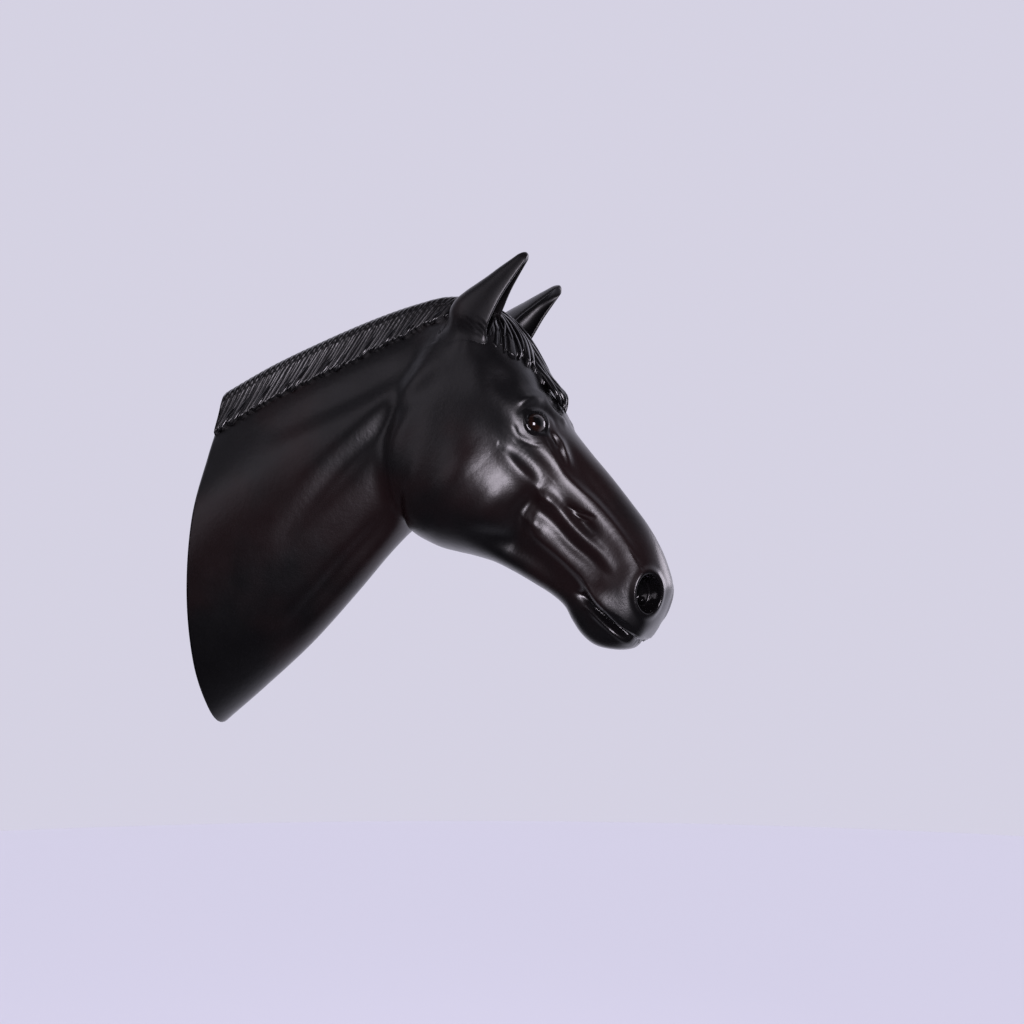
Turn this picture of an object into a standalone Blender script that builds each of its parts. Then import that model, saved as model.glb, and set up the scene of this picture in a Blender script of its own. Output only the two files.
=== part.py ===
"""Wall-hung horse head: one casting with its neck, ears, mane and forelock, and two glass eyes set into it.

Metres, +Z up. The flat back lies on the wall plane x = 0, cut through the middle of the neck at z = 0, and
the horse looks along +X, so its right side is -Y. The carving is drawn in carving units, of which the bust is
600 high, so every free form scales with BUST_HEIGHT. Most tables below are read in side view, as (x, z).
"""

import math

import bmesh
import bpy
import numpy as np

# Driving sizes, in metres
BUST_HEIGHT = 0.600
EYE_DIAMETER = 0.034
EYE_CLEARANCE = 0.0003

DRAWN_HEIGHT = 600
UNIT = BUST_HEIGHT / DRAWN_HEIGHT
EYE_RADIUS = EYE_DIAMETER / UNIT / 2

# Mesh fineness
SKIN_ROWS = 190
SKIN_COLUMNS = 72
STEPS_TO_A_RIB = 24
STEPS_ROUND_A_RIB = 16
DABS_TO_A_STEP = 6
FUSING_VOXEL = 0.0026
BUST_TRIANGLES = 8000
EYE_SEGMENTS = 24
EYE_RINGS = 14
EAR_ROWS = 24
EAR_COLUMNS = 13
LOCK_ROWS = 11
LOCK_SIDES = 8

# Each rib is one cut through the bust: its crest and its underside, and its half widths at six heights
# between them, which close in on both ends. The first lies behind the wall.
RIBS = {
    "behind the wall": ((-22, 207), (-22, -247), (18, 51, 88, 96, 78, 40)),
    "wall": ((0, 218), (0, -229), (18, 51, 88, 96, 77, 38)),
    "shoulder": ((75, 252), (62, -181), (17, 47, 78, 84, 68, 34)),
    "middle of the neck": ((155, 281), (132, -123), (16, 42, 68, 72, 58, 30)),
    "upper neck": ((228, 304), (198, -57), (15, 38, 60, 62, 50, 27)),
    "throat": ((290, 319), (250, -1), (16, 37, 55, 57, 47, 27)),
    "back of the jaw": ((342, 325), (284, 31), (20, 44, 60, 64, 58, 38)),
    "ears": ((392, 310), (296, 22), (30, 57, 68, 72, 67, 46)),
    "poll": ((434, 274), (312, 12), (42, 68, 73, 74, 69, 48)),
    "forehead": ((463, 229), (330, 3), (46, 71, 72, 75, 71, 48)),
    "eyes": ((483, 191), (350, -3), (46, 70, 68, 70, 65, 43)),
    "below the eyes": ((501, 158), (374, -9), (37, 61, 61, 65, 58, 38)),
    "front of the cheek": ((529, 121), (402, -18), (26, 46, 50, 49, 42, 30)),
    "bridge": ((557, 87), (430, -32), (20, 37, 42, 41, 35, 25)),
    "nose": ((583, 53), (456, -47), (18, 34, 39, 38, 33, 23)),
    "above the nostrils": ((604, 24), (480, -62), (19, 34, 39, 37, 31, 21)),
    "tops of the nostrils": ((619, -3), (497, -77), (22, 38, 42, 37, 30, 21)),
    "nostrils": ((629, -29), (507, -95), (23, 42, 47, 39, 32, 22)),
    "chin": ((634, -52), (520, -113), (20, 39, 44, 37, 33, 23)),
    "upper lip": ((628, -75), (538, -126), (18, 33, 38, 35, 32, 23)),
    "front of the lips": ((616, -99), (562, -131), (14, 24, 29, 30, 27, 18)),
    "lip tips": ((605, -113), (580, -130), (8, 13, 18, 20, 17, 11)),
    "mouth": ((595, -122), (593, -124), (1, 1, 1, 1, 1, 1)),
}

# How far round each rib the points stand closest, for the ridge over the eye, how much closer and how far
# that reaches
RIDGE_SHARE = 0.22
RIDGE_CLOSER = 0.9
RIDGE_REACH = 0.14

# How many ribs belong to the neck, over how many more the rings draw together, and how much closer those of
# the head stand
NECK_RIBS = 6
NECK_TO_HEAD = 4
HEAD_CLOSER = 1.3

# Share of the rows in which the crest runs forward
CREST_SHARE = 0.8

# Each stroke of the carving follows a path and raises the skin, or lowers it where the height is below zero:
# height, reach to the left and to the right of the path, path.
STROKES = {
    "rear edge of the jaw": (
        8, 40, 16, ((333, 262), (306, 208), (288, 156), (282, 100), (290, 50), (304, 22)),
    ),
    "hollow behind the jaw": (-3, 16, 20, ((318, 250), (288, 190), (270, 140), (268, 92), (276, 50))),
    "cheek": (9, 48, 48, ((376, 112), (422, 58))),
    "front edge of the cheek": (-6, 11, 13, ((474, 66), (466, 52), (456, 34), (446, 14), (436, -4))),
    "corner of the cheek": (-2.5, 9, 9, ((472, 62), (462, 52), (448, 42))),
    "hollow under the cheek": (-4, 14, 14, ((390, 18), (430, 6), (470, -18), (500, -45))),
    "facial crest": (4.5, 7, 15, ((438, 116), (450, 100), (463, 85), (475, 71))),
    "hollow above the crest": (-4, 14, 12, ((458, 120), (474, 102), (490, 84))),
    "upper cheek muscle": (4, 8, 9, ((478, 64), (500, 44), (519, 21), (538, 2), (556, -15), (570, -34))),
    "head of the upper cheek muscle": (4, 12, 9, ((482, 62), (493, 50))),
    "nose muscle": (
        4.5, 7, 22, ((497, 110), (508, 86), (526, 67), (547, 48), (568, 23), (586, -3), (596, -19)),
    ),
    "pocket": (-4, 7, 7, ((510, 48), (526, 32), (545, 12))),
    "lower cheek muscle": (5.5, 17, 7, ((459, 28), (478, 7), (504, -15), (526, -37), (544, -60), (558, -76))),
    "head of the lower cheek muscle": (3, 9, 7, ((463, 33), (474, 20))),
    "groove between the muscles": (-2.5, 7, 7, ((474, 44), (496, 24), (516, 0), (540, -20), (558, -40))),
    "side of the nose bone": (-2.5, 12, 12, ((503, 136), (524, 100), (552, 56), (582, 14))),
    "brow": (4.5, 12, 12, ((460, 181), (470, 187), (480, 187), (492, 178), (502, 162))),
    "temple hollow": (-3, 18, 18, ((430, 214), (444, 198))),
    "root of the ear": (8, 24, 24, ((364, 284), (380, 268), (398, 268), (412, 278))),
    "cheekbone arch": (1.2, 16, 16, ((446, 166), (424, 184), (396, 214))),
    "tear line": (3, 5, 5, ((504, 132), (510, 116), (515, 100))),
    "first neck groove": (-5, 18, 18, ((322, 199), (288, 177), (240, 137), (204, 102), (171, 65), (132, 16))),
    "neck muscle": (2.5, 22, 22, ((317, 214), (275, 190), (235, 156), (196, 128), (150, 92))),
    "second neck groove": (-3.5, 20, 20, ((313, 240), (262, 223), (217, 204), (161, 182), (110, 160))),
    "windpipe groove": (-5, 14, 14, ((292, 60), (258, 34), (214, -8), (168, -56), (120, -104))),
    "mouth": (-8, 3, 5, ((528, -64), (545, -80), (568, -98), (584, -112), (598, -124))),
    "lower lip": (3, 5, 5, ((534, -78), (550, -93), (570, -110), (584, -122))),
    "upper lip": (6, 16, 5, ((546, -72), (564, -88), (581, -101), (597, -113))),
}
STROKE_END = 0.25
STROKE_FULLNESS = 0.7

# Reading the skin at a place: points to each side of the nearest one, square of the blur, and for its
# direction the reach
PLACE_POINTS = 3
PLACE_BLUR = 8
FRAME_REACH = 9

# Eye and nostril: middle, half sizes along and across the opening, and the tilt of its long axis
EYE_CENTRE = (478, 151)
EYE_OPENING = (15.0, 10.5)
EYE_TILT = math.radians(-30)
EYE_SUNK = 11.5
LID_THICKNESS = 3.2
LID_OPENED_BELOW = 5.0
LID_REACH = 9.0
LID_FADE = 14.0
LID_SPREAD = 3.0
LID_EDGE = 1.05
LID_EDGE_WIDTH = 0.14
LID_CORNERS = 0.35
NOSTRIL_CENTRE = (615, -62)
NOSTRIL_OPENING = (25.0, 17.0)
NOSTRIL_TILT = math.radians(86)
NOSTRIL_DEPTH = 20.0
NOSTRIL_WALL = 0.45
NOSTRIL_RIM = 3.0
NOSTRIL_RIM_AT = 1.12
NOSTRIL_RIM_WIDTH = 0.2

# Ears: middle of the root and tip of each, how far each is turned inward, and up its height the width, the
# depth from back to rims and how far the cup is open
EAR_ROOT = (382, -36, 262)
EAR_TIP = (468, -66, 370)
LEFT_EAR_ROOT = (386, 36, 262)
LEFT_EAR_TIP = (471, 65, 357)
EAR_TURN = math.radians(2)
LEFT_EAR_TURN = math.radians(30)
EAR_THICKNESS = 5.5
EAR_BOW = 6.0
EAR_FORWARD = 0.3
EAR_CLOSED_DEPTH = 0.25
EAR_WIDTHS = (38, 48, 50, 46, 40, 32, 24, 15, 5)
EAR_DEPTHS = (50, 64, 64, 55, 43, 32, 23, 14, 5)
EAR_OPENNESS = (0, 0, 0.5, 1, 1, 1, 0.9, 0.4, 0)

# Hair: how wide a lock is at its root, how fast it swells, from where and how bluntly it tapers, and its tip
LOCK_ROOT = 0.55
LOCK_SWELL = 2.2
LOCK_TAPERS_FROM = 0.375
LOCK_TAPER = 2.4
LOCK_TIP = 0.02
READ_STEP = 2

# Mane: half width and half thickness of each lock, and its heights over the skin from root to tip. The locks
# stand so far apart along the crest and fall so far at its two ends.
MANE_START = -20
MANE_END = 372
MANE_SPACING = 16.5
MANE_LOCK = (10.5, 7.5)
MANE_HEIGHTS = (6, 6, 3, -1)
MANE_FALL = (62, 36)
MANE_LEFT_SHARE = 0.72
MANE_LEANS_BACK = 0.036
MANE_WAVE = 3.0
MANE_WAVE_STEP = 2.4
MANE_OVER_CREST = 5
MANE_BESIDE_CREST = 8
MANE_HALFWAY = 0.55
MANE_ROOT_AHEAD = 1.5

# Forelock: each tip is where it ends along the crest and how far round the forehead it reaches. Each middle
# lock is how far round from the crest it lies and how wide it is.
FORELOCK_ROOT = 384
FORELOCK_TIPS = ((404, 68), (418, 69), (432, 66), (444, 60), (455, 51), (466, 41), (478, 27))
FORELOCK_LOCK = (11, 8)
FORELOCK_HEIGHTS = (5, 9, 8, -1)
FORELOCK_PARTING = 6.0
FORELOCK_END = 496
FORELOCK_MIDDLE = ((4, 13), (-9, 12), (14, 11))
FORELOCK_MIDDLE_HEIGHTS = (6, 11, 11, 7)
FORELOCK_FAN_STEP = 2.2
FORELOCK_ROOT_BEHIND = 3
FORELOCK_FAN_ROWS = (0.25, 0.55)
FORELOCK_FAN_ROUND = (0.4, 0.62)
FORELOCK_MIDDLE_ROWS = (0.4, 0.8)
FORELOCK_MIDDLE_TIP = 0.5

BLACK_RESIN = (0.012, 0.010, 0.011, 1)
BROWN_GLASS = (0.020, 0.010, 0.006, 1)


def spline(keys, at):
    """A Catmull-Rom curve through the rows of keys, read at the positions at, which count in rows."""
    keys = np.asarray(keys, float)
    keys = np.concatenate([2 * keys[:1] - keys[1:2], keys, 2 * keys[-1:] - keys[-2:-1]])
    at = np.clip(np.asarray(at, float), 0, len(keys) - 3)
    first = np.minimum(at.astype(int), len(keys) - 4)
    t = (at - first).reshape((-1,) + (1,) * (keys.ndim - 1))
    a, b, c, d = (keys[first + i] for i in range(4))
    return 0.5 * (2 * b + (c - a) * t + (2 * a - 5 * b + 4 * c - d) * t**2 + (3 * b - a - 3 * c + d) * t**3)


def evenly(points, count, closeness):
    """Positions, in rows of points, of count places along them, nearer together where closeness is high."""
    steps = np.linalg.norm(np.diff(points, axis=0), axis=-1) * (closeness[1:] + closeness[:-1]) / 2
    length = np.concatenate([[0], np.cumsum(steps)])
    return np.interp(np.linspace(0, length[-1], count), length, np.arange(len(length)))


def unit(vector):
    return vector / max(np.linalg.norm(vector), 1e-9)


def smooth_step(value):
    value = np.clip(value, 0, 1)
    return value * value * (3 - 2 * value)


def bell(distance, reach):
    return np.exp(-((distance / reach) ** 2))


def rib_outline(crest, underside, half_widths, columns):
    """One rib's right side, from crest to underside, as points (x, y, z)."""
    mirrored = np.concatenate([-half_widths[::-1], [0], half_widths, [0], -half_widths[::-1]])
    step = len(half_widths) + 1
    turn = np.linspace(0, 1, STEPS_ROUND_A_RIB * step + 1)
    width = spline(mirrored, len(half_widths) + turn * step)
    share = (1 - np.cos(math.pi * turn)) / 2
    line = crest + (underside - crest) * share[:, None]
    points = np.stack([line[:, 0], -width, line[:, 1]], axis=-1)
    closeness = 1 + RIDGE_CLOSER * bell(share - RIDGE_SHARE, RIDGE_REACH)
    return spline(points, evenly(points, columns, closeness))


def skin_rings(rows, columns):
    """The neck and head before carving, as rings of points from the wall to the mouth."""
    ribs = list(RIBS.values())
    crests = np.array([rib[0] for rib in ribs], float)
    undersides = np.array([rib[1] for rib in ribs], float)
    widths = np.array([rib[2] for rib in ribs], float)
    fine = np.linspace(0, len(ribs) - 1, STEPS_TO_A_RIB * (len(ribs) - 1) + 1)
    ends = np.concatenate([spline(crests, fine), spline(undersides, fine)], axis=1)
    on_head = smooth_step((fine - NECK_RIBS) / NECK_TO_HEAD)
    places = evenly(ends, rows, 1 + HEAD_CLOSER * on_head) / STEPS_TO_A_RIB
    cuts = zip(spline(crests, places), spline(undersides, places), spline(widths, places))
    return both_sides(np.array([rib_outline(*cut_through, columns) for cut_through in cuts]))


def both_sides(right, flip=(1, -1, 1)):
    """Completes rows from crest to underside with their mirror image on the left side."""
    return np.concatenate([right, right[:, -2:0:-1] * np.array(flip)], axis=1)


def ring_normals(rings):
    around = np.roll(rings, -1, axis=1) - np.roll(rings, 1, axis=1)
    normal = np.cross(around, np.gradient(rings, axis=0))
    return normal / np.maximum(np.linalg.norm(normal, axis=-1, keepdims=True), 1e-9)


def on_skin(side, place):
    """The point of the right side that lies at place in side view."""
    gap = (side[..., 0] - place[0]) ** 2 + (side[..., 2] - place[1]) ** 2
    row, column = np.unravel_index(np.argmin(gap), gap.shape)
    rows = slice(max(row - PLACE_POINTS, 0), row + PLACE_POINTS + 1)
    near = (rows, slice(max(column - PLACE_POINTS, 0), column + PLACE_POINTS + 1))
    weight = np.exp(-gap[near] / PLACE_BLUR) + 1e-9
    return np.array((place[0], (side[near][..., 1] * weight).sum() / weight.sum(), place[1]))


def stroke_amount(side, height, reach_left, reach_right, path):
    """How much one stroke, a row of overlapping dabs that fade towards its ends, raises points of side."""
    count = DABS_TO_A_STEP * (len(path) - 1) + 1
    dabs = np.array([on_skin(side, place) for place in spline(path, np.linspace(0, len(path) - 1, count))])
    ahead = np.gradient(dabs, axis=0)
    amount = np.zeros(side.shape[:2])
    for k, (dab, step) in enumerate(zip(dabs, ahead)):
        away = side - dab
        left = step[0] * away[..., 2] - step[2] * away[..., 0] > 0
        fade = STROKE_END + (1 - STROKE_END) * math.sin(math.pi * k / (count - 1)) ** STROKE_FULLNESS
        dabbed = fade * bell(np.linalg.norm(away, axis=-1), np.where(left, reach_left, reach_right))
        amount = np.maximum(amount, dabbed)
    return height * amount


def local_frame(rings, half, place, tilt):
    """The skin point at place, the long axis of an opening tilted in side view, across it, and outward."""
    side = rings[:, :half]
    centre = on_skin(side, place)
    nearness = bell(np.linalg.norm(side - centre, axis=-1), FRAME_REACH)
    outward = unit((ring_normals(rings)[:, :half] * nearness[..., None]).sum(axis=(0, 1)))
    along = np.array((math.cos(tilt), 0, math.sin(tilt)))
    along = unit(along - outward * (along @ outward))
    return centre, along, np.cross(outward, along), outward


def nostril_shift(rings, half):
    """Sinks a nostril into the right side and raises a rim round it."""
    centre, along, across, outward = local_frame(rings, half, NOSTRIL_CENTRE, NOSTRIL_TILT)
    away = rings[:, :half] - centre
    spread = np.hypot(away @ along / NOSTRIL_OPENING[0], away @ across / NOSTRIL_OPENING[1])
    pit = -NOSTRIL_DEPTH * smooth_step((1 - spread) / NOSTRIL_WALL)
    rim = NOSTRIL_RIM * bell(spread - NOSTRIL_RIM_AT, NOSTRIL_RIM_WIDTH)
    near = np.abs(away @ outward) < NOSTRIL_OPENING[0]
    return np.where(near, pit + rim, 0)[..., None] * outward


def lid_shift(side, ball, along, across, outward):
    """Wraps the skin over the eyeball as two lids and opens it inside the almond between them."""
    away = side - ball
    distance = np.linalg.norm(away, axis=-1)
    x = away @ along / EYE_OPENING[0]
    z = away @ across / EYE_OPENING[1]
    almond = np.hypot(x, z * (1 + LID_CORNERS * x**2))
    in_front = away @ outward > 0
    lid = EYE_RADIUS + LID_THICKNESS
    cover = smooth_step((lid + LID_REACH - distance) / LID_FADE) * smooth_step(LID_SPREAD - almond)
    wrapped = distance + (np.maximum(lid, distance) - distance) * cover
    opened = smooth_step((LID_EDGE - almond) / LID_EDGE_WIDTH)
    target = wrapped + (EYE_RADIUS - LID_OPENED_BELOW - wrapped) * opened
    shift = np.where(in_front & (distance < 2 * EYE_RADIUS), target - distance, 0)
    return shift[..., None] * away / np.maximum(distance, 1e-6)[..., None]


def carve(rings, half):
    """The carved skin, and the middle of the right eyeball."""
    side = rings[:, :half]
    amount = sum(stroke_amount(side, *stroke) for stroke in STROKES.values())
    rings = rings + ring_normals(rings) * both_sides(amount[..., None], (1,))
    rings = rings + both_sides(nostril_shift(rings, half))
    centre, along, across, outward = local_frame(rings, half, EYE_CENTRE, EYE_TILT)
    ball = centre - outward * EYE_SUNK
    rings = rings + both_sides(lid_shift(rings[:, :half], ball, along, across, outward))
    return rings, ball


def row_at(rings, x):
    """The row whose crest lies at x, over the rows where the crest runs forward."""
    reach = int(len(rings) * CREST_SHARE)
    return float(np.interp(x, rings[:reach, 0, 0], np.arange(reach)))


def over_skin(rings, row, round_from_crest, height):
    """A point at row along the bust, so far round from the crest (below zero: left) and so high over it."""
    low = int(np.clip(math.floor(row), 0, len(rings) - 2))
    places = []
    for ring in rings[low : low + 2]:
        closed = np.vstack([ring, ring[:1]])
        lengths = np.concatenate([[0], np.cumsum(np.linalg.norm(np.diff(closed, axis=0), axis=1))])
        round_ring = (round_from_crest + np.array((-READ_STEP, 0, READ_STEP))) % lengths[-1]
        places.append(np.stack([np.interp(round_ring, lengths, closed[:, i]) for i in range(3)], axis=1))
    back, here, front = places[0] + (places[1] - places[0]) * (row - low)
    outward = unit(np.cross(front - back, places[1][1] - places[0][1]))
    return here + outward * height, outward


def add_rings(shape, rings):
    """Adds a closed skin over rings of points, with a face over each end."""
    verts = [[shape.verts.new(point * UNIT) for point in ring] for ring in rings]
    count = len(verts[0])
    for lower, upper in zip(verts, verts[1:]):
        for i in range(count):
            j = (i + 1) % count
            shape.faces.new((lower[i], upper[i], upper[j], lower[j]))
    shape.faces.new(verts[0])
    shape.faces.new(verts[-1][::-1])


def add_lock(shape, rings, rows, rounds, heights, size):
    """Adds a tapered lock of hair over the skin; rows, rounds and heights are keys from root to tip."""
    at = np.linspace(0, len(rows) - 1, LOCK_ROWS)
    laid = [over_skin(rings, *key) for key in zip(spline(rows, at), spline(rounds, at), spline(heights, at))]
    path = np.array([point for point, _ in laid])
    turns = np.linspace(0, 2 * math.pi, LOCK_SIDES, endpoint=False)
    lock = []
    for k, (step, (point, outward)) in enumerate(zip(np.gradient(path, axis=0), laid)):
        share = k / (LOCK_ROWS - 1)
        taper = max((share - LOCK_TAPERS_FROM) / (1 - LOCK_TAPERS_FROM), 0) ** LOCK_TAPER
        swell = min(LOCK_ROOT + LOCK_SWELL * share, 1) * math.sqrt(max(1 - taper, LOCK_TIP))
        across = unit(np.cross(outward, step))
        up = unit(np.cross(step, across))
        wide = across * size[0] * swell
        high = up * size[1] * swell
        lock.append([point + wide * math.cos(t) + high * math.sin(t) for t in turns])
    add_rings(shape, np.array(lock))


def add_mane(shape, rings):
    """Locks that rise on the crest and fall back and down each side of the neck, less far on the left."""
    count = int((MANE_END - MANE_START) / MANE_SPACING) + 1
    for k in range(count):
        x = MANE_START + k * MANE_SPACING
        share = (x - MANE_START) / (MANE_END - MANE_START)
        wave = MANE_WAVE * math.sin(k * MANE_WAVE_STEP)
        fall = MANE_FALL[0] + (MANE_FALL[1] - MANE_FALL[0]) * share**3 + wave
        row = row_at(rings, x)
        behind = row - MANE_LEANS_BACK * SKIN_ROWS
        for side, reach in ((1, fall), (-1, fall * MANE_LEFT_SHARE)):
            rounds = np.array((-MANE_OVER_CREST, MANE_BESIDE_CREST, reach * MANE_HALFWAY, reach)) * side
            rows = (row + MANE_ROOT_AHEAD, row, (row + behind) / 2, behind)
            add_lock(shape, rings, rows, rounds, MANE_HEIGHTS, MANE_LOCK)


def add_forelock(shape, rings):
    """Locks that fan out from between the ears over the forehead and end in one thick lock above the eyes."""
    root = row_at(rings, FORELOCK_ROOT)
    for side in (1, -1):
        for k, (x, reach) in enumerate(FORELOCK_TIPS):
            tip = row_at(rings, x)
            start = FORELOCK_PARTING + FORELOCK_FAN_STEP * (len(FORELOCK_TIPS) - k)
            rows = (root - FORELOCK_ROOT_BEHIND, *(root + (tip - root) * s for s in FORELOCK_FAN_ROWS), tip)
            rounds = (start * FORELOCK_FAN_ROUND[0], start, reach * FORELOCK_FAN_ROUND[1], reach)
            add_lock(shape, rings, rows, np.array(rounds) * side, FORELOCK_HEIGHTS, FORELOCK_LOCK)
    end = row_at(rings, FORELOCK_END)
    for offset, width in FORELOCK_MIDDLE:
        rows = (root - FORELOCK_ROOT_BEHIND, *(root + (end - root) * s for s in FORELOCK_MIDDLE_ROWS), end)
        rounds = (0, offset, offset, offset * FORELOCK_MIDDLE_TIP)
        add_lock(shape, rings, rows, rounds, FORELOCK_MIDDLE_HEIGHTS, (width, FORELOCK_LOCK[1]))


def add_ear(shape, root, tip, turn):
    """Adds one ear as rings up its height: each goes round the outside of the cup and back inside it."""
    root = np.array(root, float)
    tip = np.array(tip, float)
    axis = unit(tip - root)
    ahead = unit(np.array((1, 0, 0)) - axis * axis[0])
    opening = ahead * math.cos(turn) + np.cross(axis, ahead) * math.sin(turn)
    across = np.cross(axis, opening)
    shares = np.linspace(0, 1, EAR_ROWS)
    at = shares * (len(EAR_WIDTHS) - 1)
    opennesses = np.clip(spline(EAR_OPENNESS, at), 0, 1)
    sizes = zip(shares, spline(EAR_WIDTHS, at) / 2, spline(EAR_DEPTHS, at), opennesses)
    turns = np.linspace(-math.pi / 2, math.pi / 2, EAR_COLUMNS)
    ear = []
    for share, width, depth, openness in sizes:
        forward = depth * EAR_FORWARD - EAR_BOW * math.sin(math.pi * share)
        middle = root + (tip - root) * share + opening * forward
        thick = min(EAR_THICKNESS, width, depth / 2)
        outer = [(width * math.sin(t), -depth * math.cos(t)) for t in turns]
        back = turns[::-1]
        closed = np.array([(width * math.sin(t), depth * EAR_CLOSED_DEPTH * math.cos(t)) for t in back])
        cupped = np.array([((width - thick) * math.sin(t), -(depth - thick) * math.cos(t)) for t in back])
        inner = closed * (1 - openness) + cupped * openness
        ear.append([middle + across * a + opening * b for a, b in np.vstack([outer, inner])])
    add_rings(shape, np.array(ear))


def add_object(name, shape):
    """Links shape to the scene as a smooth-shaded object with its faces turned outward."""
    bmesh.ops.recalc_face_normals(shape, faces=shape.faces)
    mesh = bpy.data.meshes.new(name)
    shape.to_mesh(mesh)
    shape.free()
    mesh.shade_smooth()
    obj = bpy.data.objects.new(name, mesh)
    bpy.context.scene.collection.objects.link(obj)
    return obj


def add_ball(name, centre, radius):
    shape = bmesh.new()
    bmesh.ops.create_uvsphere(shape, u_segments=EYE_SEGMENTS, v_segments=EYE_RINGS, radius=radius)
    bmesh.ops.translate(shape, verts=shape.verts, vec=centre * UNIT)
    return add_object(name, shape)


def add_wall_block():
    """A block that fills everything behind the wall plane."""
    shape = bmesh.new()
    bmesh.ops.create_cube(shape, size=2 * BUST_HEIGHT)
    bmesh.ops.translate(shape, verts=shape.verts, vec=(-BUST_HEIGHT, 0, 0))
    return add_object("wall_block", shape)


def cut(obj, cutter):
    """Takes the cutter out of obj and hides the cutter."""
    cutter.hide_render = True
    cutter.display_type = "WIRE"
    modifier = obj.modifiers.new(cutter.name, "BOOLEAN")
    modifier.operation = "DIFFERENCE"
    modifier.solver = "EXACT"
    modifier.object = cutter


def fuse(obj):
    """Fuses the overlapping pieces of obj into one skin and thins it to BUST_TRIANGLES."""
    remesh = obj.modifiers.new("fuse", "REMESH")
    remesh.mode = "VOXEL"
    remesh.voxel_size = FUSING_VOXEL
    remesh.use_smooth_shade = True
    fused = obj.evaluated_get(bpy.context.evaluated_depsgraph_get()).data
    triangles = sum(len(polygon.vertices) - 2 for polygon in fused.polygons)
    thin = obj.modifiers.new("thin", "DECIMATE")
    thin.ratio = BUST_TRIANGLES / triangles


def finish(obj, colour, roughness, coat):
    """Gives obj a material of its own."""
    material = bpy.data.materials.new(obj.name)
    material.use_nodes = True
    shader = material.node_tree.nodes["Principled BSDF"]
    shader.inputs["Base Color"].default_value = colour
    shader.inputs["Metallic"].default_value = 0
    shader.inputs["Roughness"].default_value = roughness
    shader.inputs["Coat Weight"].default_value = coat
    obj.data.materials.append(material)


def main():
    for obj in list(bpy.data.objects):
        bpy.data.objects.remove(obj)
    plain = skin_rings(SKIN_ROWS, SKIN_COLUMNS)
    carved, right_eye = carve(plain, SKIN_COLUMNS)
    left_eye = right_eye * (1, -1, 1)
    shape = bmesh.new()
    add_rings(shape, carved)
    add_mane(shape, plain)
    add_forelock(shape, plain)
    add_ear(shape, EAR_ROOT, EAR_TIP, EAR_TURN)
    add_ear(shape, LEFT_EAR_ROOT, LEFT_EAR_TIP, -LEFT_EAR_TURN)
    head = add_object("horse_head", shape)
    fuse(head)
    cut(head, add_wall_block())
    finish(head, BLACK_RESIN, 0.32, 0.2)
    for side, centre in (("right", right_eye), ("left", left_eye)):
        cut(head, add_ball("socket_" + side, centre, EYE_DIAMETER / 2 + EYE_CLEARANCE))
        finish(add_ball("eye_" + side, centre, EYE_DIAMETER / 2), BROWN_GLASS, 0.05, 1)


if __name__ == "__main__":
    main()
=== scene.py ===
"""Dresses the wall-hung horse head in its finished surface: carved skin, ears, mane, forelock and glass eyes.

Metres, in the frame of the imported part: x = 0 is the wall, the horse looks along +X and its right side is -Y.
The carving is drawn in carving units, and most tables are read in side view, as (x, z).
"""

import math

import bmesh
import bpy
import numpy as np
from bpy.props import FloatProperty, FloatVectorProperty, IntProperty, PointerProperty
from mathutils import Matrix, Vector
from mathutils.bvhtree import BVHTree


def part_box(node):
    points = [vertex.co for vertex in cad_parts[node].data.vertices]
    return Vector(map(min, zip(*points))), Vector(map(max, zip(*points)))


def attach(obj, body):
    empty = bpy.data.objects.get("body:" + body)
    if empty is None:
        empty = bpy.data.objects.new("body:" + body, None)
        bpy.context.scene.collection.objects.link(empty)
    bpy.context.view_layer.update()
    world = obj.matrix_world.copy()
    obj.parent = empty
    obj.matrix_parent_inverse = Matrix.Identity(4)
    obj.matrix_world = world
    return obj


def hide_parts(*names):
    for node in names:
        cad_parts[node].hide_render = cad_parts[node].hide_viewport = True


bl_info = {
    "name": "Wall-hung horse head",
    "version": (1, 0, 0),
    "blender": (4, 5, 0),
    "location": "View3D > Sidebar > Horse Head",
    "description": "Carves the skin, ears, hair and eyes of a cast horse head over its packed solids",
    "category": "Add Mesh",
}

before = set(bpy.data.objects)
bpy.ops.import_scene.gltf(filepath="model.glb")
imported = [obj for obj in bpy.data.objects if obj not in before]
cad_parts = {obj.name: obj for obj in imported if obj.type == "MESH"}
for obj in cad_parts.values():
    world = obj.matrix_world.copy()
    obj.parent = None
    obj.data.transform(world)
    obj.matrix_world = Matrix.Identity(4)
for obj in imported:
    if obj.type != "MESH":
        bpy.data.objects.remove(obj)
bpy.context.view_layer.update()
HEAD_BOX = [np.array(corner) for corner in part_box("horse_head")]
EYE_BOXES = {side: [np.array(corner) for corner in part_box("eye_" + side)] for side in ("right", "left")}

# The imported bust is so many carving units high
BUST_UNITS = 599.63
UNIT = float(HEAD_BOX[1][2] - HEAD_BOX[0][2]) / BUST_UNITS
EYE_BALL = (EYE_BOXES["right"][0] + EYE_BOXES["right"][1]) / 2 / UNIT
EYE_RADIUS = float(EYE_BOXES["right"][1][2] - EYE_BOXES["right"][0][2]) / 2 / UNIT

# Camera of the photograph
CAMERA_TURN = math.radians(20)
CAMERA_LOOKS_UP = math.radians(6)
CAMERA_PLACE = (1.0398, -1.6921, -0.1429)
CAMERA_LENS = 49.22
SENSOR = 36.0

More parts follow.
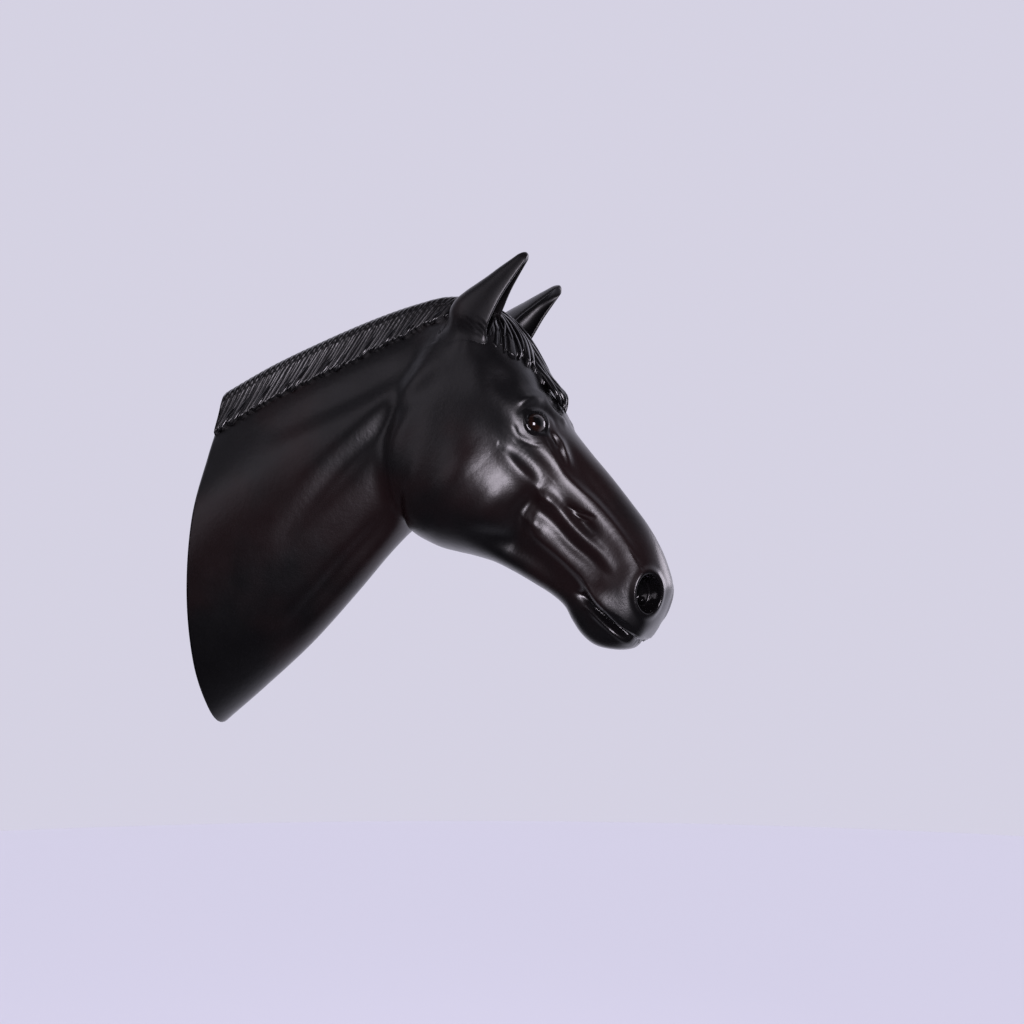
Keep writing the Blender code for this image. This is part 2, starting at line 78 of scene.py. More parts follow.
# Softboxes: azimuth and elevation from the head, 0 is straight out of the wall, then distance, size and power
SOFTBOXES = (
    ("key", -72, 4, 1.05, (0.36, 0.42), 9.8),
    ("front", 46, 10, 2.2, (1.0, 1.0), 17),
    ("top", -20, 80, 1.8, (0.6, 1.6), 1.2),
    ("rear", -135, 25, 2.2, (1.0, 1.4), 3.2),
)
LAMP_COLOUR = (0.95, 0.88, 1.0)
LAMP_TARGET = (0.42, 0, 0.08)
# A wide light below the bust shines down and keeps the floor pale to the horizon: drop, width and power
FLOOR_LIGHT = (0.1, 60.0, 6400)
FLOOR_RADIUS = 9
FLOOR_SIDES = 96
# The room is dark behind the camera and bright behind the head, and fades from one to the other along Y
ROOM_DARK = 0.06
ROOM_BRIGHT = 1.5
ROOM_FADE = (-0.35, 0.75)

# Finishes in black resin: amount of undertone, roughness, its spread, grain, coat, and how rough the glossy
# places of the mesh are
FINISHES = {
    "skin": (0.8, 0.335, 0.12, 0.6, 0.0, 0.14),
    "ears": (0.8, 0.36, 0.1, 0.3, 0.0, None),
    "hair": (0.1, 0.32, 0.1, 0.4, 0.15, None),
    "locks": (0.1, 0.2, 0.1, 0.2, 0.4, None),
}
COAT_ROUGHNESS = 0.12
BUMP_HEIGHT = 0.00022
BUMP_STRENGTH = 0.5
GLOSSY_BLACK = (0.004, 0.0036, 0.004, 1)
# The undertone comes through in patches, where a noise of this detail rises through PATCH_FADE. The other
# noises are scale and detail.
PATCH_DETAIL = 3
PATCH_FADE = (0.42, 0.68)
SMEAR_NOISE = (38, 5)
GRAIN_NOISE = (420, 4)
DIMPLE_NOISE = (150, 3)
DIMPLES_TO_GRAIN = 3.0

# Glass eye, in radii of the eyeball. The squeeze makes the pupil longer along the lids.
PUPIL_SQUEEZE = (0.62, 1.0, 0)
PUPIL_EDGE = (0.26, 0.34)
IRIS_EDGE = 0.12
FIBRE_NOISE = (9, 6)
FIBRE_FADE = (0.35, 0.7)
DARK_FIBRE = 0.25
PUPIL_BLACK = (0.002, 0.0018, 0.002, 1)
CORNEA_FROM = 0.72
CORNEA_BULGE = 0.05
EYE_SEGMENTS = (72, 48)

# Each rib is one cut through the bust: its crest, its underside and its half widths at six heights between
# them, which close in on both ends. The first lies behind the wall and only steers the curve.
RIBS = {
    "behind the wall": ((-22, 207), (-22, -247), (18, 51, 88, 96, 78, 40)),
    "wall": ((0, 218), (0, -229), (18, 51, 88, 96, 77, 38)),
    "shoulder": ((75, 252), (62, -181), (17, 47, 78, 84, 68, 34)),
    "middle of the neck": ((155, 281), (132, -123), (16, 42, 68, 72, 58, 30)),
    "upper neck": ((228, 304), (198, -57), (15, 38, 60, 62, 50, 27)),
    "throat": ((290, 319), (250, -1), (16, 37, 55, 57, 47, 27)),
    "back of the jaw": ((342, 325), (284, 31), (20, 44, 60, 64, 58, 38)),
    "ears": ((392, 310), (296, 22), (30, 57, 68, 72, 67, 46)),
    "poll": ((434, 274), (312, 12), (42, 68, 73, 74, 69, 48)),
    "forehead": ((463, 229), (330, 3), (46, 71, 72, 75, 71, 48)),
    "eyes": ((483, 191), (350, -3), (46, 70, 68, 70, 65, 43)),
    "below the eyes": ((501, 158), (374, -9), (37, 61, 61, 65, 58, 38)),
    "front of the cheek": ((529, 121), (402, -18), (26, 46, 50, 49, 42, 30)),
    "bridge": ((557, 87), (430, -32), (20, 37, 42, 41, 35, 25)),
    "nose": ((583, 53), (456, -47), (18, 34, 39, 38, 33, 23)),
    "above the nostrils": ((604, 24), (480, -62), (19, 34, 39, 37, 31, 21)),
    "tops of the nostrils": ((619, -3), (497, -77), (22, 38, 42, 37, 30, 21)),
    "nostrils": ((629, -29), (507, -95), (25, 43, 47, 38, 29, 20)),
    "chin": ((634, -52), (520, -113), (24, 41, 45, 35, 28, 20)),
    "upper lip": ((628, -75), (538, -126), (24, 38, 40, 33, 27, 20)),
    "front of the lips": ((616, -99), (562, -131), (20, 31, 33, 29, 24, 17)),
    "lip tips": ((605, -113), (580, -130), (13, 21, 24, 21, 16, 11)),
    "mouth": ((595, -122), (593, -124), (1, 1, 1, 1, 1, 1)),
}
STEPS_TO_A_RIB = 24
STEPS_ROUND_A_RIB = 32
GRID_ROWS = 190
GRID_COLUMNS = 72
# Over this share of the rows the crest runs forward
CREST_SHARE = 0.8
# Points lie closer where the crest turns over into the sides, and closer on the head than on the neck
RIDGE_SHARE = 0.22
RIDGE_CLOSER = 0.9
RIDGE_REACH = 0.14
NECK_RIBS = 6
NECK_TO_HEAD = 4
HEAD_CLOSER = 1.3
# A place in side view is read from so many points round it, blurred by so much, and the way out of the skin
# at an opening is averaged over FRAME_REACH
PLACE_POINTS = 4
PLACE_BLUR = 4
FRAME_REACH = 9

# Each stroke of the carving follows a path and raises the skin, or lowers it where the height is below zero:
# height, reach to the left and to the right of the path, path.
STROKES = {
    "rear edge of the jaw": (
        8, 40, 16, ((333, 262), (306, 208), (288, 156), (282, 100), (290, 50), (304, 22)),
    ),
    "hollow behind the jaw": (-3, 16, 20, ((318, 250), (288, 190), (270, 140), (268, 92), (276, 50))),
    "cheek": (9, 48, 48, ((378, 102), (424, 46))),
    "front edge of the cheek": (-6, 11, 13, ((474, 66), (466, 52), (456, 34), (446, 14), (436, -4))),
    "corner of the cheek": (-2.5, 9, 9, ((472, 62), (462, 52), (448, 42))),
    "hollow under the cheek": (-4, 14, 14, ((390, 18), (430, 6), (470, -18), (500, -45))),
    "facial crest": (4.5, 7, 15, ((438, 116), (450, 100), (463, 85), (475, 71))),
    "hollow above the crest": (-4, 14, 12, ((458, 120), (474, 102), (490, 84))),
    "upper cheek muscle": (4, 8, 9, ((478, 64), (500, 44), (519, 21), (538, 2), (556, -15), (570, -34))),
    "head of the upper cheek muscle": (4, 12, 9, ((482, 62), (493, 50))),
    "nose muscle": (
        4.5, 7, 22, ((497, 110), (508, 86), (526, 67), (547, 48), (568, 23), (586, -3), (596, -19)),
    ),
    "pocket": (-4, 7, 7, ((510, 48), (526, 32), (545, 12))),
    "lower cheek muscle": (5.5, 17, 7, ((459, 28), (478, 7), (504, -15), (526, -37), (544, -60), (558, -76))),
    "head of the lower cheek muscle": (3, 9, 7, ((463, 33), (474, 20))),
    "groove between the muscles": (-2.5, 7, 7, ((474, 44), (496, 24), (516, 0), (540, -20), (558, -40))),
    "side of the nose bone": (-2.5, 12, 12, ((503, 136), (524, 100), (552, 56), (582, 14))),
    "brow": (4.5, 12, 12, ((460, 181), (470, 187), (480, 187), (492, 178), (502, 162))),
    "temple hollow": (-3, 18, 18, ((430, 214), (444, 198))),
    "root of the ear": (8, 24, 24, ((364, 284), (380, 268), (398, 268), (412, 278))),
    "cheekbone arch": (1.2, 16, 16, ((446, 166), (424, 184), (396, 214))),
    "tear line": (3, 5, 5, ((504, 132), (510, 116), (515, 100))),
    "first neck groove": (
        -5, 18, 18, ((345, 212), (322, 199), (288, 177), (240, 137), (204, 102), (171, 65), (132, 16)),
    ),
    "neck muscle": (1.8, 22, 22, ((340, 230), (317, 214), (275, 190), (235, 156), (196, 128), (150, 92))),
    "second neck groove": (-3.5, 20, 20, ((313, 240), (262, 223), (217, 204), (161, 182), (110, 160))),
    "windpipe groove": (-5, 14, 14, ((292, 60), (258, 34), (214, -8), (168, -56), (120, -104))),
    "mouth": (-8, 3, 7, ((528, -64), (545, -80), (568, -98), (584, -112), (598, -124))),
    "lower lip": (3, 5, 5, ((534, -78), (550, -93), (570, -110), (584, -122))),
    "upper lip": (6, 16, 5, ((546, -72), (564, -88), (581, -101), (592, -110))),
}
# A stroke fades to this share of its height at its ends. Its dabs stand this close, in shares of their reach,
# and each is felt as far as so many reaches.
STROKE_END = 0.25
STROKE_FULLNESS = 0.7
DAB_SPACING = 0.35
LEAST_DABS = 6
DAB_FELT = 3

# Finer lines that only the finished surface shows, in the same form
FINE_STROKES = {
    "fold under the eye": (1.2, 3, 3, ((455, 140), (463, 130), (476, 124), (489, 124))),
    "second fold under the eye": (-1.3, 2.5, 2.5, ((452, 146), (459, 134), (472, 126), (484, 125))),
    "crease over the upper lid": (-1.8, 3, 3, ((458, 164), (467, 172), (480, 171), (491, 160), (497, 147))),
    "corner of the eye": (-3, 3, 3, ((492, 139), (499, 130), (502, 122))),
    "ridge of the tear line": (2.5, 3.5, 3.5, ((497, 140), (504, 126), (509, 112))),
    "wrinkle of the muscle": (-2.6, 2.4, 2.4, ((512, 46), (524, 40), (536, 35), (545, 31))),
    "second wrinkle of the muscle": (-1.6, 2.2, 2.2, ((516, 38), (528, 32), (540, 28))),
    "corner of the mouth": (-3, 5, 5, ((520, -60), (530, -66), (540, -74))),
    "edge of the lower lip": (2.5, 3, 4, ((534, -77), (548, -91), (565, -105), (582, -119))),
    "chin": (3, 14, 14, ((548, -112), (566, -122))),
    "front of the brow": (3.0, 4, 6, ((481, 180), (488, 171), (497, 160), (502, 152))),
    "side of the upper lip": (7, 19, 9, ((538, -50), (553, -66), (568, -80), (578, -89))),
    "fold of the upper lid": (3, 6, 5, ((460, 176), (469, 181), (477, 180))),
}

# Eye and nostril: half sizes along and across the opening, and the tilt of its long axis. Gloss is the outer
# edge of the glossy place, in those half sizes, and the width of its fade.
EYE_CENTRE = (478, 151)
EYE_OPENING = (15.0, 10.5)
EYE_TILT = math.radians(-30)
LID_THICKNESS = 3.2
LID_OPENED_BELOW = 5.0
LID_REACH = 9.0
LID_FADE = 14
LID_SPREAD = 3.0
LID_CORNERS = 0.35
LID_EDGE = 1.05
LID_EDGE_WIDTH = 0.14
LID_GLOSS = (1.75, 0.5)
NOSTRIL_CENTRE = (616, -64)
NOSTRIL_OPENING = (25.0, 17.0)
NOSTRIL_TILT = math.radians(86)
NOSTRIL_DEPTH = 26.0
NOSTRIL_WALL = 0.4
NOSTRIL_RIM = 3.0
NOSTRIL_RIM_AT = 1.12
NOSTRIL_RIM_WIDTH = 0.2
NOSTRIL_GLOSS = (1.22, 0.2)
# Fold in the lower part of the nostril: height, reach and how far below the middle
NOSTRIL_FOLD = (5.0, 4.0, 9.0)
# The mouth's gloss is a stroke along it: strength, reach to the left and to the right
MOUTH_GLOSS = (1.6, 8, 7)

# Ears: middle of the root, tip, how far the opening turns from ahead towards the left side, and how deep the
# cup is beside the depth of the ear
EARS = {
    "right": ((382, -36, 262), (470, -66, 366), math.radians(2), 1.0),
    "left": ((386, 36, 262), (471, 65, 357), math.radians(-18), 0.6),
}
# Up the height of an ear: its width, its depth from back to rims and how far the cup is open
EAR_WIDTHS = (38, 48, 50, 46, 40, 32, 25, 18, 11)
EAR_DEPTHS = (45, 57, 57, 49, 39, 30, 23, 16, 10)
EAR_OPENNESS = (0, 0, 0.5, 1, 1, 1, 0.9, 0.5, 0)
EAR_THICKNESS = 4.0
EAR_CLOSED_DEPTH = 0.25
EAR_BOW = 6.0
EAR_FORWARD = 0.2
EAR_ROWS = 100
EAR_TIP_CLOSER = 1.25
EAR_BACK_POINTS = 56
EAR_RIM_POINTS = 9
EAR_INSIDE_POINTS = 44
EAR_TIP_FROM = 0.93
EAR_TIP_ENDS = 0.995
# The part of an ear that is this near the skin is its foot, and spreads along the skin by so much at its
# opening and at its back. The way out of the skin there is averaged over places this far round it.
EAR_FOOT = 24.0
EAR_SPREAD = (6.0, 24.0)
EAR_SUNK = 1.5
NORMAL_REACH = 7.0

# Hair lies over the skin, up to TABLE_REACH units round from the crest, and its edges sink into the skin
TABLE_REACH = 130
READ_MARGIN = 0.001
HAIR_SUNK = 3.0
EDGE_SUNK = 0.6
HAIR_UNDERSIDE = 14
STRAND_STEPS = 10
STRAND_ROUNDNESS = 0.7
RIDGE_MIDDLE = 0.7

# Mane: where along the crest it ends, how far it falls at the wall and there, how far its strands lean back
# as they fall, its height from the crest to the lower edge, how deep its grooves are at the crest and below
# it, and how its strands differ in height and length
MANE_END = 372
MANE_SPARE = 4
MANE_STEPS = 151
MANE_FALL = (62, 36)
MANE_LEFT_SHARE = 0.72
MANE_LEAN = (0.42, 0.60)
MANE_LEAN_GROWS = 3
MANE_PROFILE = (13.4, 12.8, 11.2, 9.2, 7.6, 6.4, 5.4, 4.4)
MANE_RELIEF = (0.03, 0.44)
MANE_PARTS_OVER = 0.4
MANE_POINTS = 7.0
MANE_HIGHER = (0.82, 1.12)
MANE_LONGER = (-3.5, 3.5)
MANE_SHORTENS = (12, 30)
MANE_EDGE_FROM = 0.93
MANE_FRONT = (16, 20)
# Slow waves of its strands: height, turns along the crest and down the strand, and start
MANE_WAVES = ((1.3, 0.11, 2.1, 0.4), (0.78, 0.27, -1.7, 2.0))

# Forelock: where its strands root, where they end, as (x, round from the crest) from the sides to the middle,
# and its height from root to tip
FORELOCK_ROOT = 384
FORELOCK_ROOT_HALF = 9
FORELOCK_TIPS = (
    (394, 64), (404, 69), (418, 68), (432, 64), (443, 56), (452, 44), (460, 33), (470, 23), (480, 11),
)
FORELOCK_PROFILE = (4.0, 6.4, 7.2, 7.0, 6.4, 5.6, 4.6, 3.6)
FORELOCK_STRANDS = 15
FORELOCK_STEPS = 90
FORELOCK_HIGHER = (0.75, 1.2)
FORELOCK_LONGER = (-0.08, 0.05)
FORELOCK_RELIEF = (0.4, 0.75)
FORELOCK_POINTS = 0.10
# Strands run ahead and aside sooner at first, are drawn together half way, and go no further than this share
# of their way
FORELOCK_AHEAD_SOONER = 0.25
FORELOCK_ASIDE_SOONER = 0.6
FORELOCK_DRAWN_IN = 0.35
FORELOCK_LIMIT = 1.2
# Bend and wave of a strand, and how uneven the strands' widths are, each with how fast it changes
FORELOCK_BEND = (3.4, 5)
FORELOCK_WAVE = (2.6, 9.5, 7)
FORELOCK_UNEVEN = (0.32, 1.9)
FORELOCK_CROWN = 0.3
FORELOCK_EDGE_FROM = 0.94

# Loose locks: rings, sides, depth of the flutes, size at the root, and how they swell and taper
LOCK_STEPS = 20
LOCK_SIDES = 14
LOCK_GROOVE = 0.24
LOCK_ROOT = 0.55
LOCK_SWELL = 2.2
LOCK_TAPERS_FROM = 0.375
LOCK_TAPER = 2.4
LOCK_TIP = 0.004
# Loose locks of the mane: count, where they stand along the crest, their start and end as shares of the fall,
# height and half sizes
MANE_LOCKS = 11
MANE_LOCKS_FROM = 30
MANE_LOCKS_SHORT = 40
MANE_LOCK_PLACE = (0.2, 0.8)
MANE_LOCK_START = (0.25, 0.5)
MANE_LOCK_END = (0.96, 1.08)
MANE_LOCK_LIFT = (3.2, 4.6)
MANE_LOCK_WIDE = (3.6, 5.2)
MANE_LOCK_HIGH = (3.2, 4.4)
# Along such a lock: share of the way, height as times and plus the lift, and how far it is set back
MANE_LOCK_WAY = ((0, 1, -1.5, 0), (0.4, 1, 0, 0), (0.75, 1, 0, 0), (1, 0.35, 0, 2))
MANE_LOCK_FLUTES = 2
# Loose locks over each half of the forelock: count, and each one's place, length, root, height and half sizes
FORELOCK_LOCKS = 13
FORELOCK_LOCK_FLUTES = 3
FORELOCK_LOCK_PLACE = (0.1, 0.9)
FORELOCK_LOCK_CUT = (0.7, 1.02)
FORELOCK_LOCK_STRAY = (-3, 3)
FORELOCK_LOCK_SWING = (-8, 8)
FORELOCK_LOCK_ROOT = (11, 3)
FORELOCK_LOCK_LIFT = (7.5, 10.5)
FORELOCK_LOCK_WIDE = (2.6, 5.4)
FORELOCK_LOCK_HIGH = (2.4, 4.4)
# Along such a lock: shares of its way ahead, of its reach aside, of its root's place and of its swing, height
# as times and plus the lift, and how far it is set back
FORELOCK_LOCK_WAY = (
    (0, 0, 1, 0, 0.7, 0, 2),
    (0.42, 0.26, 0.5, 0, 1, 0, 0),
    (0.76, 0.62, 0, 0.5, 0.8, 0, 0),
    (0.94, 0.88, 0, -0.4, 0.6, 0, 0),
    (1, 1, 0, 0, 0, 1.5, 0),
)
# The thick curl over the brows: root, three places on the way and tip, as (x, round from the crest, height),
# and half width and half height
CURL_LOCKS = (
    ((438, 9, 5), ((456, 10, 4), (472, 9, 5), (485, 9, 12)), (494, 3, 4), (6.0, 5.5)),
    ((436, -2, 6), ((456, -1, 5), (473, 0, 6), (486, 1, 13)), (495, 5, 4), (6.5, 5.5)),
    ((438, -13, 5), ((455, -13, 4), (470, -9, 5), (482, -8, 10)), (491, -2, 4), (6.0, 5.0)),
    ((456, 15, 3), ((466, 15, 4), (475, 17, 8.5), (484, 17, 10)), (491, 9, 5), (5.0, 4.5)),
    ((454, 3, 6), ((467, 4, 6), (479, 7, 12), (488, 8, 13)), (493, 11, 5), (4.5, 4.0)),
)


class HorseHeadSizes(bpy.types.PropertyGroup):
    """Sizes of the finished surface."""

    skin_rows: IntProperty(
        name="Skin rows", description="Rings of points from the wall to the mouth", default=410
    )
    skin_columns: IntProperty(name="Skin columns", description="Points on half of each ring", default=114)
    strand_spacing: FloatProperty(
        name="Strand spacing", description="From one strand of the mane to the next", default=8 * UNIT,
        unit="LENGTH",
    )
    iris_diameter: FloatProperty(
        name="Iris", description="Diameter of the brown iris", default=1.5 * EYE_RADIUS * UNIT, unit="LENGTH"
    )
    floor_drop: FloatProperty(
        name="Floor drop", description="From the lowest point of the neck to the floor", default=1.15,
        unit="LENGTH",
    )


class HorseHeadColours(bpy.types.PropertyGroup):
    """Colours of the resin, the eyes and the stage."""

    resin: FloatVectorProperty(
        name="Resin", description="Black of the casting", subtype="COLOR", size=4,
        default=(0.0023, 0.0020, 0.0025, 1),
    )
    undertone: FloatVectorProperty(
        name="Undertone", description="Red-brown that shows through", subtype="COLOR", size=4,
        default=(0.0095, 0.0028, 0.0030, 1),
    )
    hair: FloatVectorProperty(
        name="Hair", description="Black of mane and forelock", subtype="COLOR", size=4,
        default=(0.0028, 0.0026, 0.0031, 1),
    )
    iris: FloatVectorProperty(
        name="Iris", description="Brown of the glass eyes", subtype="COLOR", size=4,
        default=(0.018, 0.0065, 0.0042, 1),
    )
    stage: FloatVectorProperty(
        name="Stage", description="Pale floor", subtype="COLOR", size=4, default=(0.665, 0.645, 0.765, 1)
    )


def spline(keys, at):
    """A Catmull-Rom curve through the rows of keys, read at the positions at, which count in rows."""
    keys = np.asarray(keys, float)
    keys = np.concatenate([2 * keys[:1] - keys[1:2], keys, 2 * keys[-1:] - keys[-2:-1]])
    at = np.clip(np.asarray(at, float), 0, len(keys) - 3)
    first = np.minimum(at.astype(int), len(keys) - 4)
    t = (at - first).reshape((-1,) + (1,) * (keys.ndim - 1))
    a, b, c, d = (keys[first + i] for i in range(4))
    return 0.5 * (2 * b + (c - a) * t + (2 * a - 5 * b + 4 * c - d) * t**2 + (3 * b - a - 3 * c + d) * t**3)


def evenly(points, count, closeness):
    """Positions, in rows of points, of count places along them, nearer together where closeness is high."""
    steps = np.linalg.norm(np.diff(points, axis=0), axis=-1) * (closeness[1:] + closeness[:-1]) / 2
    length = np.concatenate([[0], np.cumsum(steps)])
    return np.interp(np.linspace(0, length[-1], count), length, np.arange(len(length)))


def unit(vector):
    return vector / max(np.linalg.norm(vector), 1e-9)


def smooth_step(value):
    value = np.clip(value, 0, 1)
    return value * value * (3 - 2 * value)


def bell(distance, reach):
    return np.exp(-((distance / reach) ** 2))


def between(pair, share):
    return pair[0] + (pair[1] - pair[0]) * share


def read_along(keys, shares):
    """The curve through the rows of keys, read at every share of the way from the first to the last."""
    keys = np.array(keys, float)
    return spline(keys, shares.ravel() * (len(keys) - 1)).reshape(shares.shape + keys.shape[1:])


def rib_outline(crest, underside, half_widths, columns):
    """One rib's right side, from crest to underside, as points (x, y, z)."""
    mirrored = np.concatenate([-half_widths[::-1], [0], half_widths, [0], -half_widths[::-1]])
    step = len(half_widths) + 1
    turn = np.linspace(0, 1, STEPS_ROUND_A_RIB * step + 1)
    width = spline(mirrored, len(half_widths) + turn * step)
    share = (1 - np.cos(math.pi * turn)) / 2
    line = crest + (underside - crest) * share[:, None]
    points = np.stack([line[:, 0], -width, line[:, 1]], axis=-1)
    closeness = 1 + RIDGE_CLOSER * bell(share - RIDGE_SHARE, RIDGE_REACH)
    return spline(points, evenly(points, columns, closeness))


def skin_rings(rows, columns):
    """The neck and head before carving, as rings of points from the wall to the mouth."""
    ribs = list(RIBS.values())
    crests, undersides, widths = (np.array([rib[part] for rib in ribs], float) for part in range(3))
    fine = np.linspace(1, len(ribs) - 1, STEPS_TO_A_RIB * (len(ribs) - 2) + 1)
    ends = np.concatenate([spline(crests, fine), spline(undersides, fine)], axis=1)
    on_head = smooth_step((fine - NECK_RIBS) / NECK_TO_HEAD)
    places = 1 + evenly(ends, rows, 1 + HEAD_CLOSER * on_head) / STEPS_TO_A_RIB
    cuts = zip(spline(crests, places), spline(undersides, places), spline(widths, places))
    return both_sides(np.array([rib_outline(*cut, columns) for cut in cuts]))


def both_sides(right, flip=(1, -1, 1)):
    """Completes rows from crest to underside with their mirror image on the left side."""
    return np.concatenate([right, right[:, -2:0:-1] * np.array(flip)], axis=1)


def ring_normals(rings):
    around = np.roll(rings, -1, axis=1) - np.roll(rings, 1, axis=1)
    normal = np.cross(around, np.gradient(rings, axis=0))
    return normal / np.maximum(np.linalg.norm(normal, axis=-1, keepdims=True), 1e-9)


def on_skin(side, place):
    """The point of the right side that lies at place in side view."""
    gap = (side[..., 0] - place[0]) ** 2 + (side[..., 2] - place[1]) ** 2
    row, column = np.unravel_index(np.argmin(gap), gap.shape)
    near = tuple(slice(max(middle - PLACE_POINTS, 0), middle + PLACE_POINTS + 1) for middle in (row, column))
    weight = np.exp(-gap[near] / PLACE_BLUR) + 1e-9
    return np.array((place[0], (side[near][..., 1] * weight).sum() / weight.sum(), place[1]))


def stroke_amount(side, height, reach_left, reach_right, path):
    """How far one stroke, a row of overlapping dabs that fade towards its ends, raises each point of side."""
    felt = DAB_FELT * max(reach_left, reach_right)
    length = np.linalg.norm(np.diff(np.array(path, float), axis=0), axis=1).sum()
    count = max(int(length / (DAB_SPACING * min(reach_left, reach_right))), LEAST_DABS) + 1
    dabs = np.array([on_skin(side, place) for place in spline(path, np.linspace(0, len(path) - 1, count))])
    ahead = np.gradient(dabs, axis=0)
    low = dabs.min(axis=0) - felt
    high = dabs.max(axis=0) + felt
    near = ((side > low) & (side < high)).all(axis=-1)
    points = side[near]
    best = np.zeros(len(points))
    for k, (dab, step) in enumerate(zip(dabs, ahead)):
        away = points - dab
        left = step[0] * away[:, 2] - step[2] * away[:, 0] > 0
        swell = max(math.sin(math.pi * k / (count - 1)), 0) ** STROKE_FULLNESS
        fade = STROKE_END + (1 - STROKE_END) * swell
        dabbed = fade * bell(np.linalg.norm(away, axis=-1), np.where(left, reach_left, reach_right))
        best = np.maximum(best, dabbed)
    amount = np.zeros(side.shape[:2])
    amount[near] = height * best
    return amount


def local_frame(rings, half, place, tilt):
    """The skin point at place, the long axis of an opening tilted in side view, the way across, and out."""
    side = rings[:, :half]
    centre = on_skin(side, place)
    nearness = bell(np.linalg.norm(side - centre, axis=-1), FRAME_REACH)
    outward = unit((ring_normals(rings)[:, :half] * nearness[..., None]).sum(axis=(0, 1)))
    along = np.array((math.cos(tilt), 0, math.sin(tilt)))
    along = unit(along - outward * (along @ outward))
    return centre, along, np.cross(outward, along), outward


def nostril_shift(rings, half):
    """Sinks a nostril into the right side, with a rim round it. Also gives how glossy each point becomes."""
    centre, along, across, outward = local_frame(rings, half, NOSTRIL_CENTRE, NOSTRIL_TILT)
    away = rings[:, :half] - centre
    spread = np.hypot(away @ along / NOSTRIL_OPENING[0], away @ across / NOSTRIL_OPENING[1])
    pit = -NOSTRIL_DEPTH * smooth_step((1 - spread) / NOSTRIL_WALL)
    rim = NOSTRIL_RIM * bell(spread - NOSTRIL_RIM_AT, NOSTRIL_RIM_WIDTH)
    high, reach, below = NOSTRIL_FOLD
    fold = high * bell(np.linalg.norm(away + below * along, axis=-1), reach)
    near = np.abs(away @ outward) < NOSTRIL_OPENING[0]
    gloss = np.where(near, smooth_step((NOSTRIL_GLOSS[0] - spread) / NOSTRIL_GLOSS[1]), 0)
    return np.where(near, pit + rim + fold, 0)[..., None] * outward, gloss


def lid_shift(side, ball, along, across, outward):
    """Wraps the skin over the eyeball as two lids and opens it inside the almond between them. Also gives how
    glossy each point becomes."""
    away = side - ball
    distance = np.linalg.norm(away, axis=-1)
    x = away @ along / EYE_OPENING[0]
    z = away @ across / EYE_OPENING[1]
    almond = np.hypot(x, z * (1 + LID_CORNERS * x**2))
    lid = EYE_RADIUS + LID_THICKNESS
    cover = smooth_step((lid + LID_REACH - distance) / LID_FADE) * smooth_step(LID_SPREAD - almond)
    wrapped = distance + (np.maximum(lid, distance) - distance) * cover
    opened = smooth_step((LID_EDGE - almond) / LID_EDGE_WIDTH)
    target = wrapped + (EYE_RADIUS - LID_OPENED_BELOW - wrapped) * opened
    near = (away @ outward > 0) & (distance < 2 * EYE_RADIUS)
    shift = np.where(near, target - distance, 0)
    gloss = np.where(near, smooth_step((LID_GLOSS[0] - almond) / LID_GLOSS[1]), 0)
    return shift[..., None] * away / np.maximum(distance, 1e-6)[..., None], gloss


def carve(rings, half):
    """The carved skin, and how glossy each of its points is."""
    side = rings[:, :half]
    strokes = list(STROKES.values()) + list(FINE_STROKES.values())
    amount = sum(stroke_amount(side, *stroke) for stroke in strokes)
    mouth_gloss = np.clip(stroke_amount(side, *MOUTH_GLOSS, STROKES["mouth"][3]), 0, 1)
    rings = rings + ring_normals(rings) * both_sides(amount[..., None], (1,))
    nostril, nostril_gloss = nostril_shift(rings, half)
    rings = rings + both_sides(nostril)
    _, along, across, outward = local_frame(rings, half, EYE_CENTRE, EYE_TILT)
    lids, lid_gloss = lid_shift(rings[:, :half], EYE_BALL, along, across, outward)
    rings = rings + both_sides(lids)
    gloss = np.maximum(np.maximum(mouth_gloss, nostril_gloss), lid_gloss)
    return rings, both_sides(gloss[..., None], (1,))[..., 0]


def rows_at(rings, x):
    """The rows whose crests lie at x, over the rows where the crest runs forward, and below zero behind the
    wall."""
    crest = rings[: int(len(rings) * CREST_SHARE), 0, 0]
    return np.interp(x, crest, np.arange(len(crest))) + np.minimum(x - crest[0], 0) / (crest[1] - crest[0])


def skin_table(rings):
    """The skin read along its rings at every unit round from the crest, with the way out at each place."""
    rounds = np.arange(-TABLE_REACH, TABLE_REACH + 1)
    places = np.empty((len(rings), len(rounds), 3))
    for row, ring in enumerate(rings):
        closed = np.vstack([ring, ring[:1]])
        lengths = np.concatenate([[0], np.cumsum(np.linalg.norm(np.diff(closed, axis=0), axis=1))])
        for axis in range(3):
            places[row, :, axis] = np.interp(rounds % lengths[-1], lengths, closed[:, axis])
    outward = np.cross(np.gradient(places, axis=1), np.gradient(places, axis=0))
    outward /= np.maximum(np.linalg.norm(outward, axis=-1, keepdims=True), 1e-9)
    return places, outward


def over_skin(table, rows, rounds, heights):
    """Points over the skin: at these rows, so far round from the crest (below zero: left) and so high."""
    rows = np.clip(rows, 0, len(table[0]) - 1 - READ_MARGIN)
    rounds = np.clip(np.asarray(rounds, float) + TABLE_REACH, 0, 2 * TABLE_REACH - READ_MARGIN)
    row, column = rows.astype(int), rounds.astype(int)
    down, along = (rows - row)[..., None], (rounds - column)[..., None]
    read = []
    for grid in table:
        near = grid[row, column] * (1 - along) + grid[row, column + 1] * along
        far = grid[row + 1, column] * (1 - along) + grid[row + 1, column + 1] * along
        read.append(near * (1 - down) + far * down)
    return read[0] + read[1] * np.asarray(heights)[..., None], read[1]


def strand_ridge(phase):
    """Height over one strand after another: round on top, with a sharp groove between two."""
    return np.abs(np.sin(math.pi * phase)) ** STRAND_ROUNDNESS


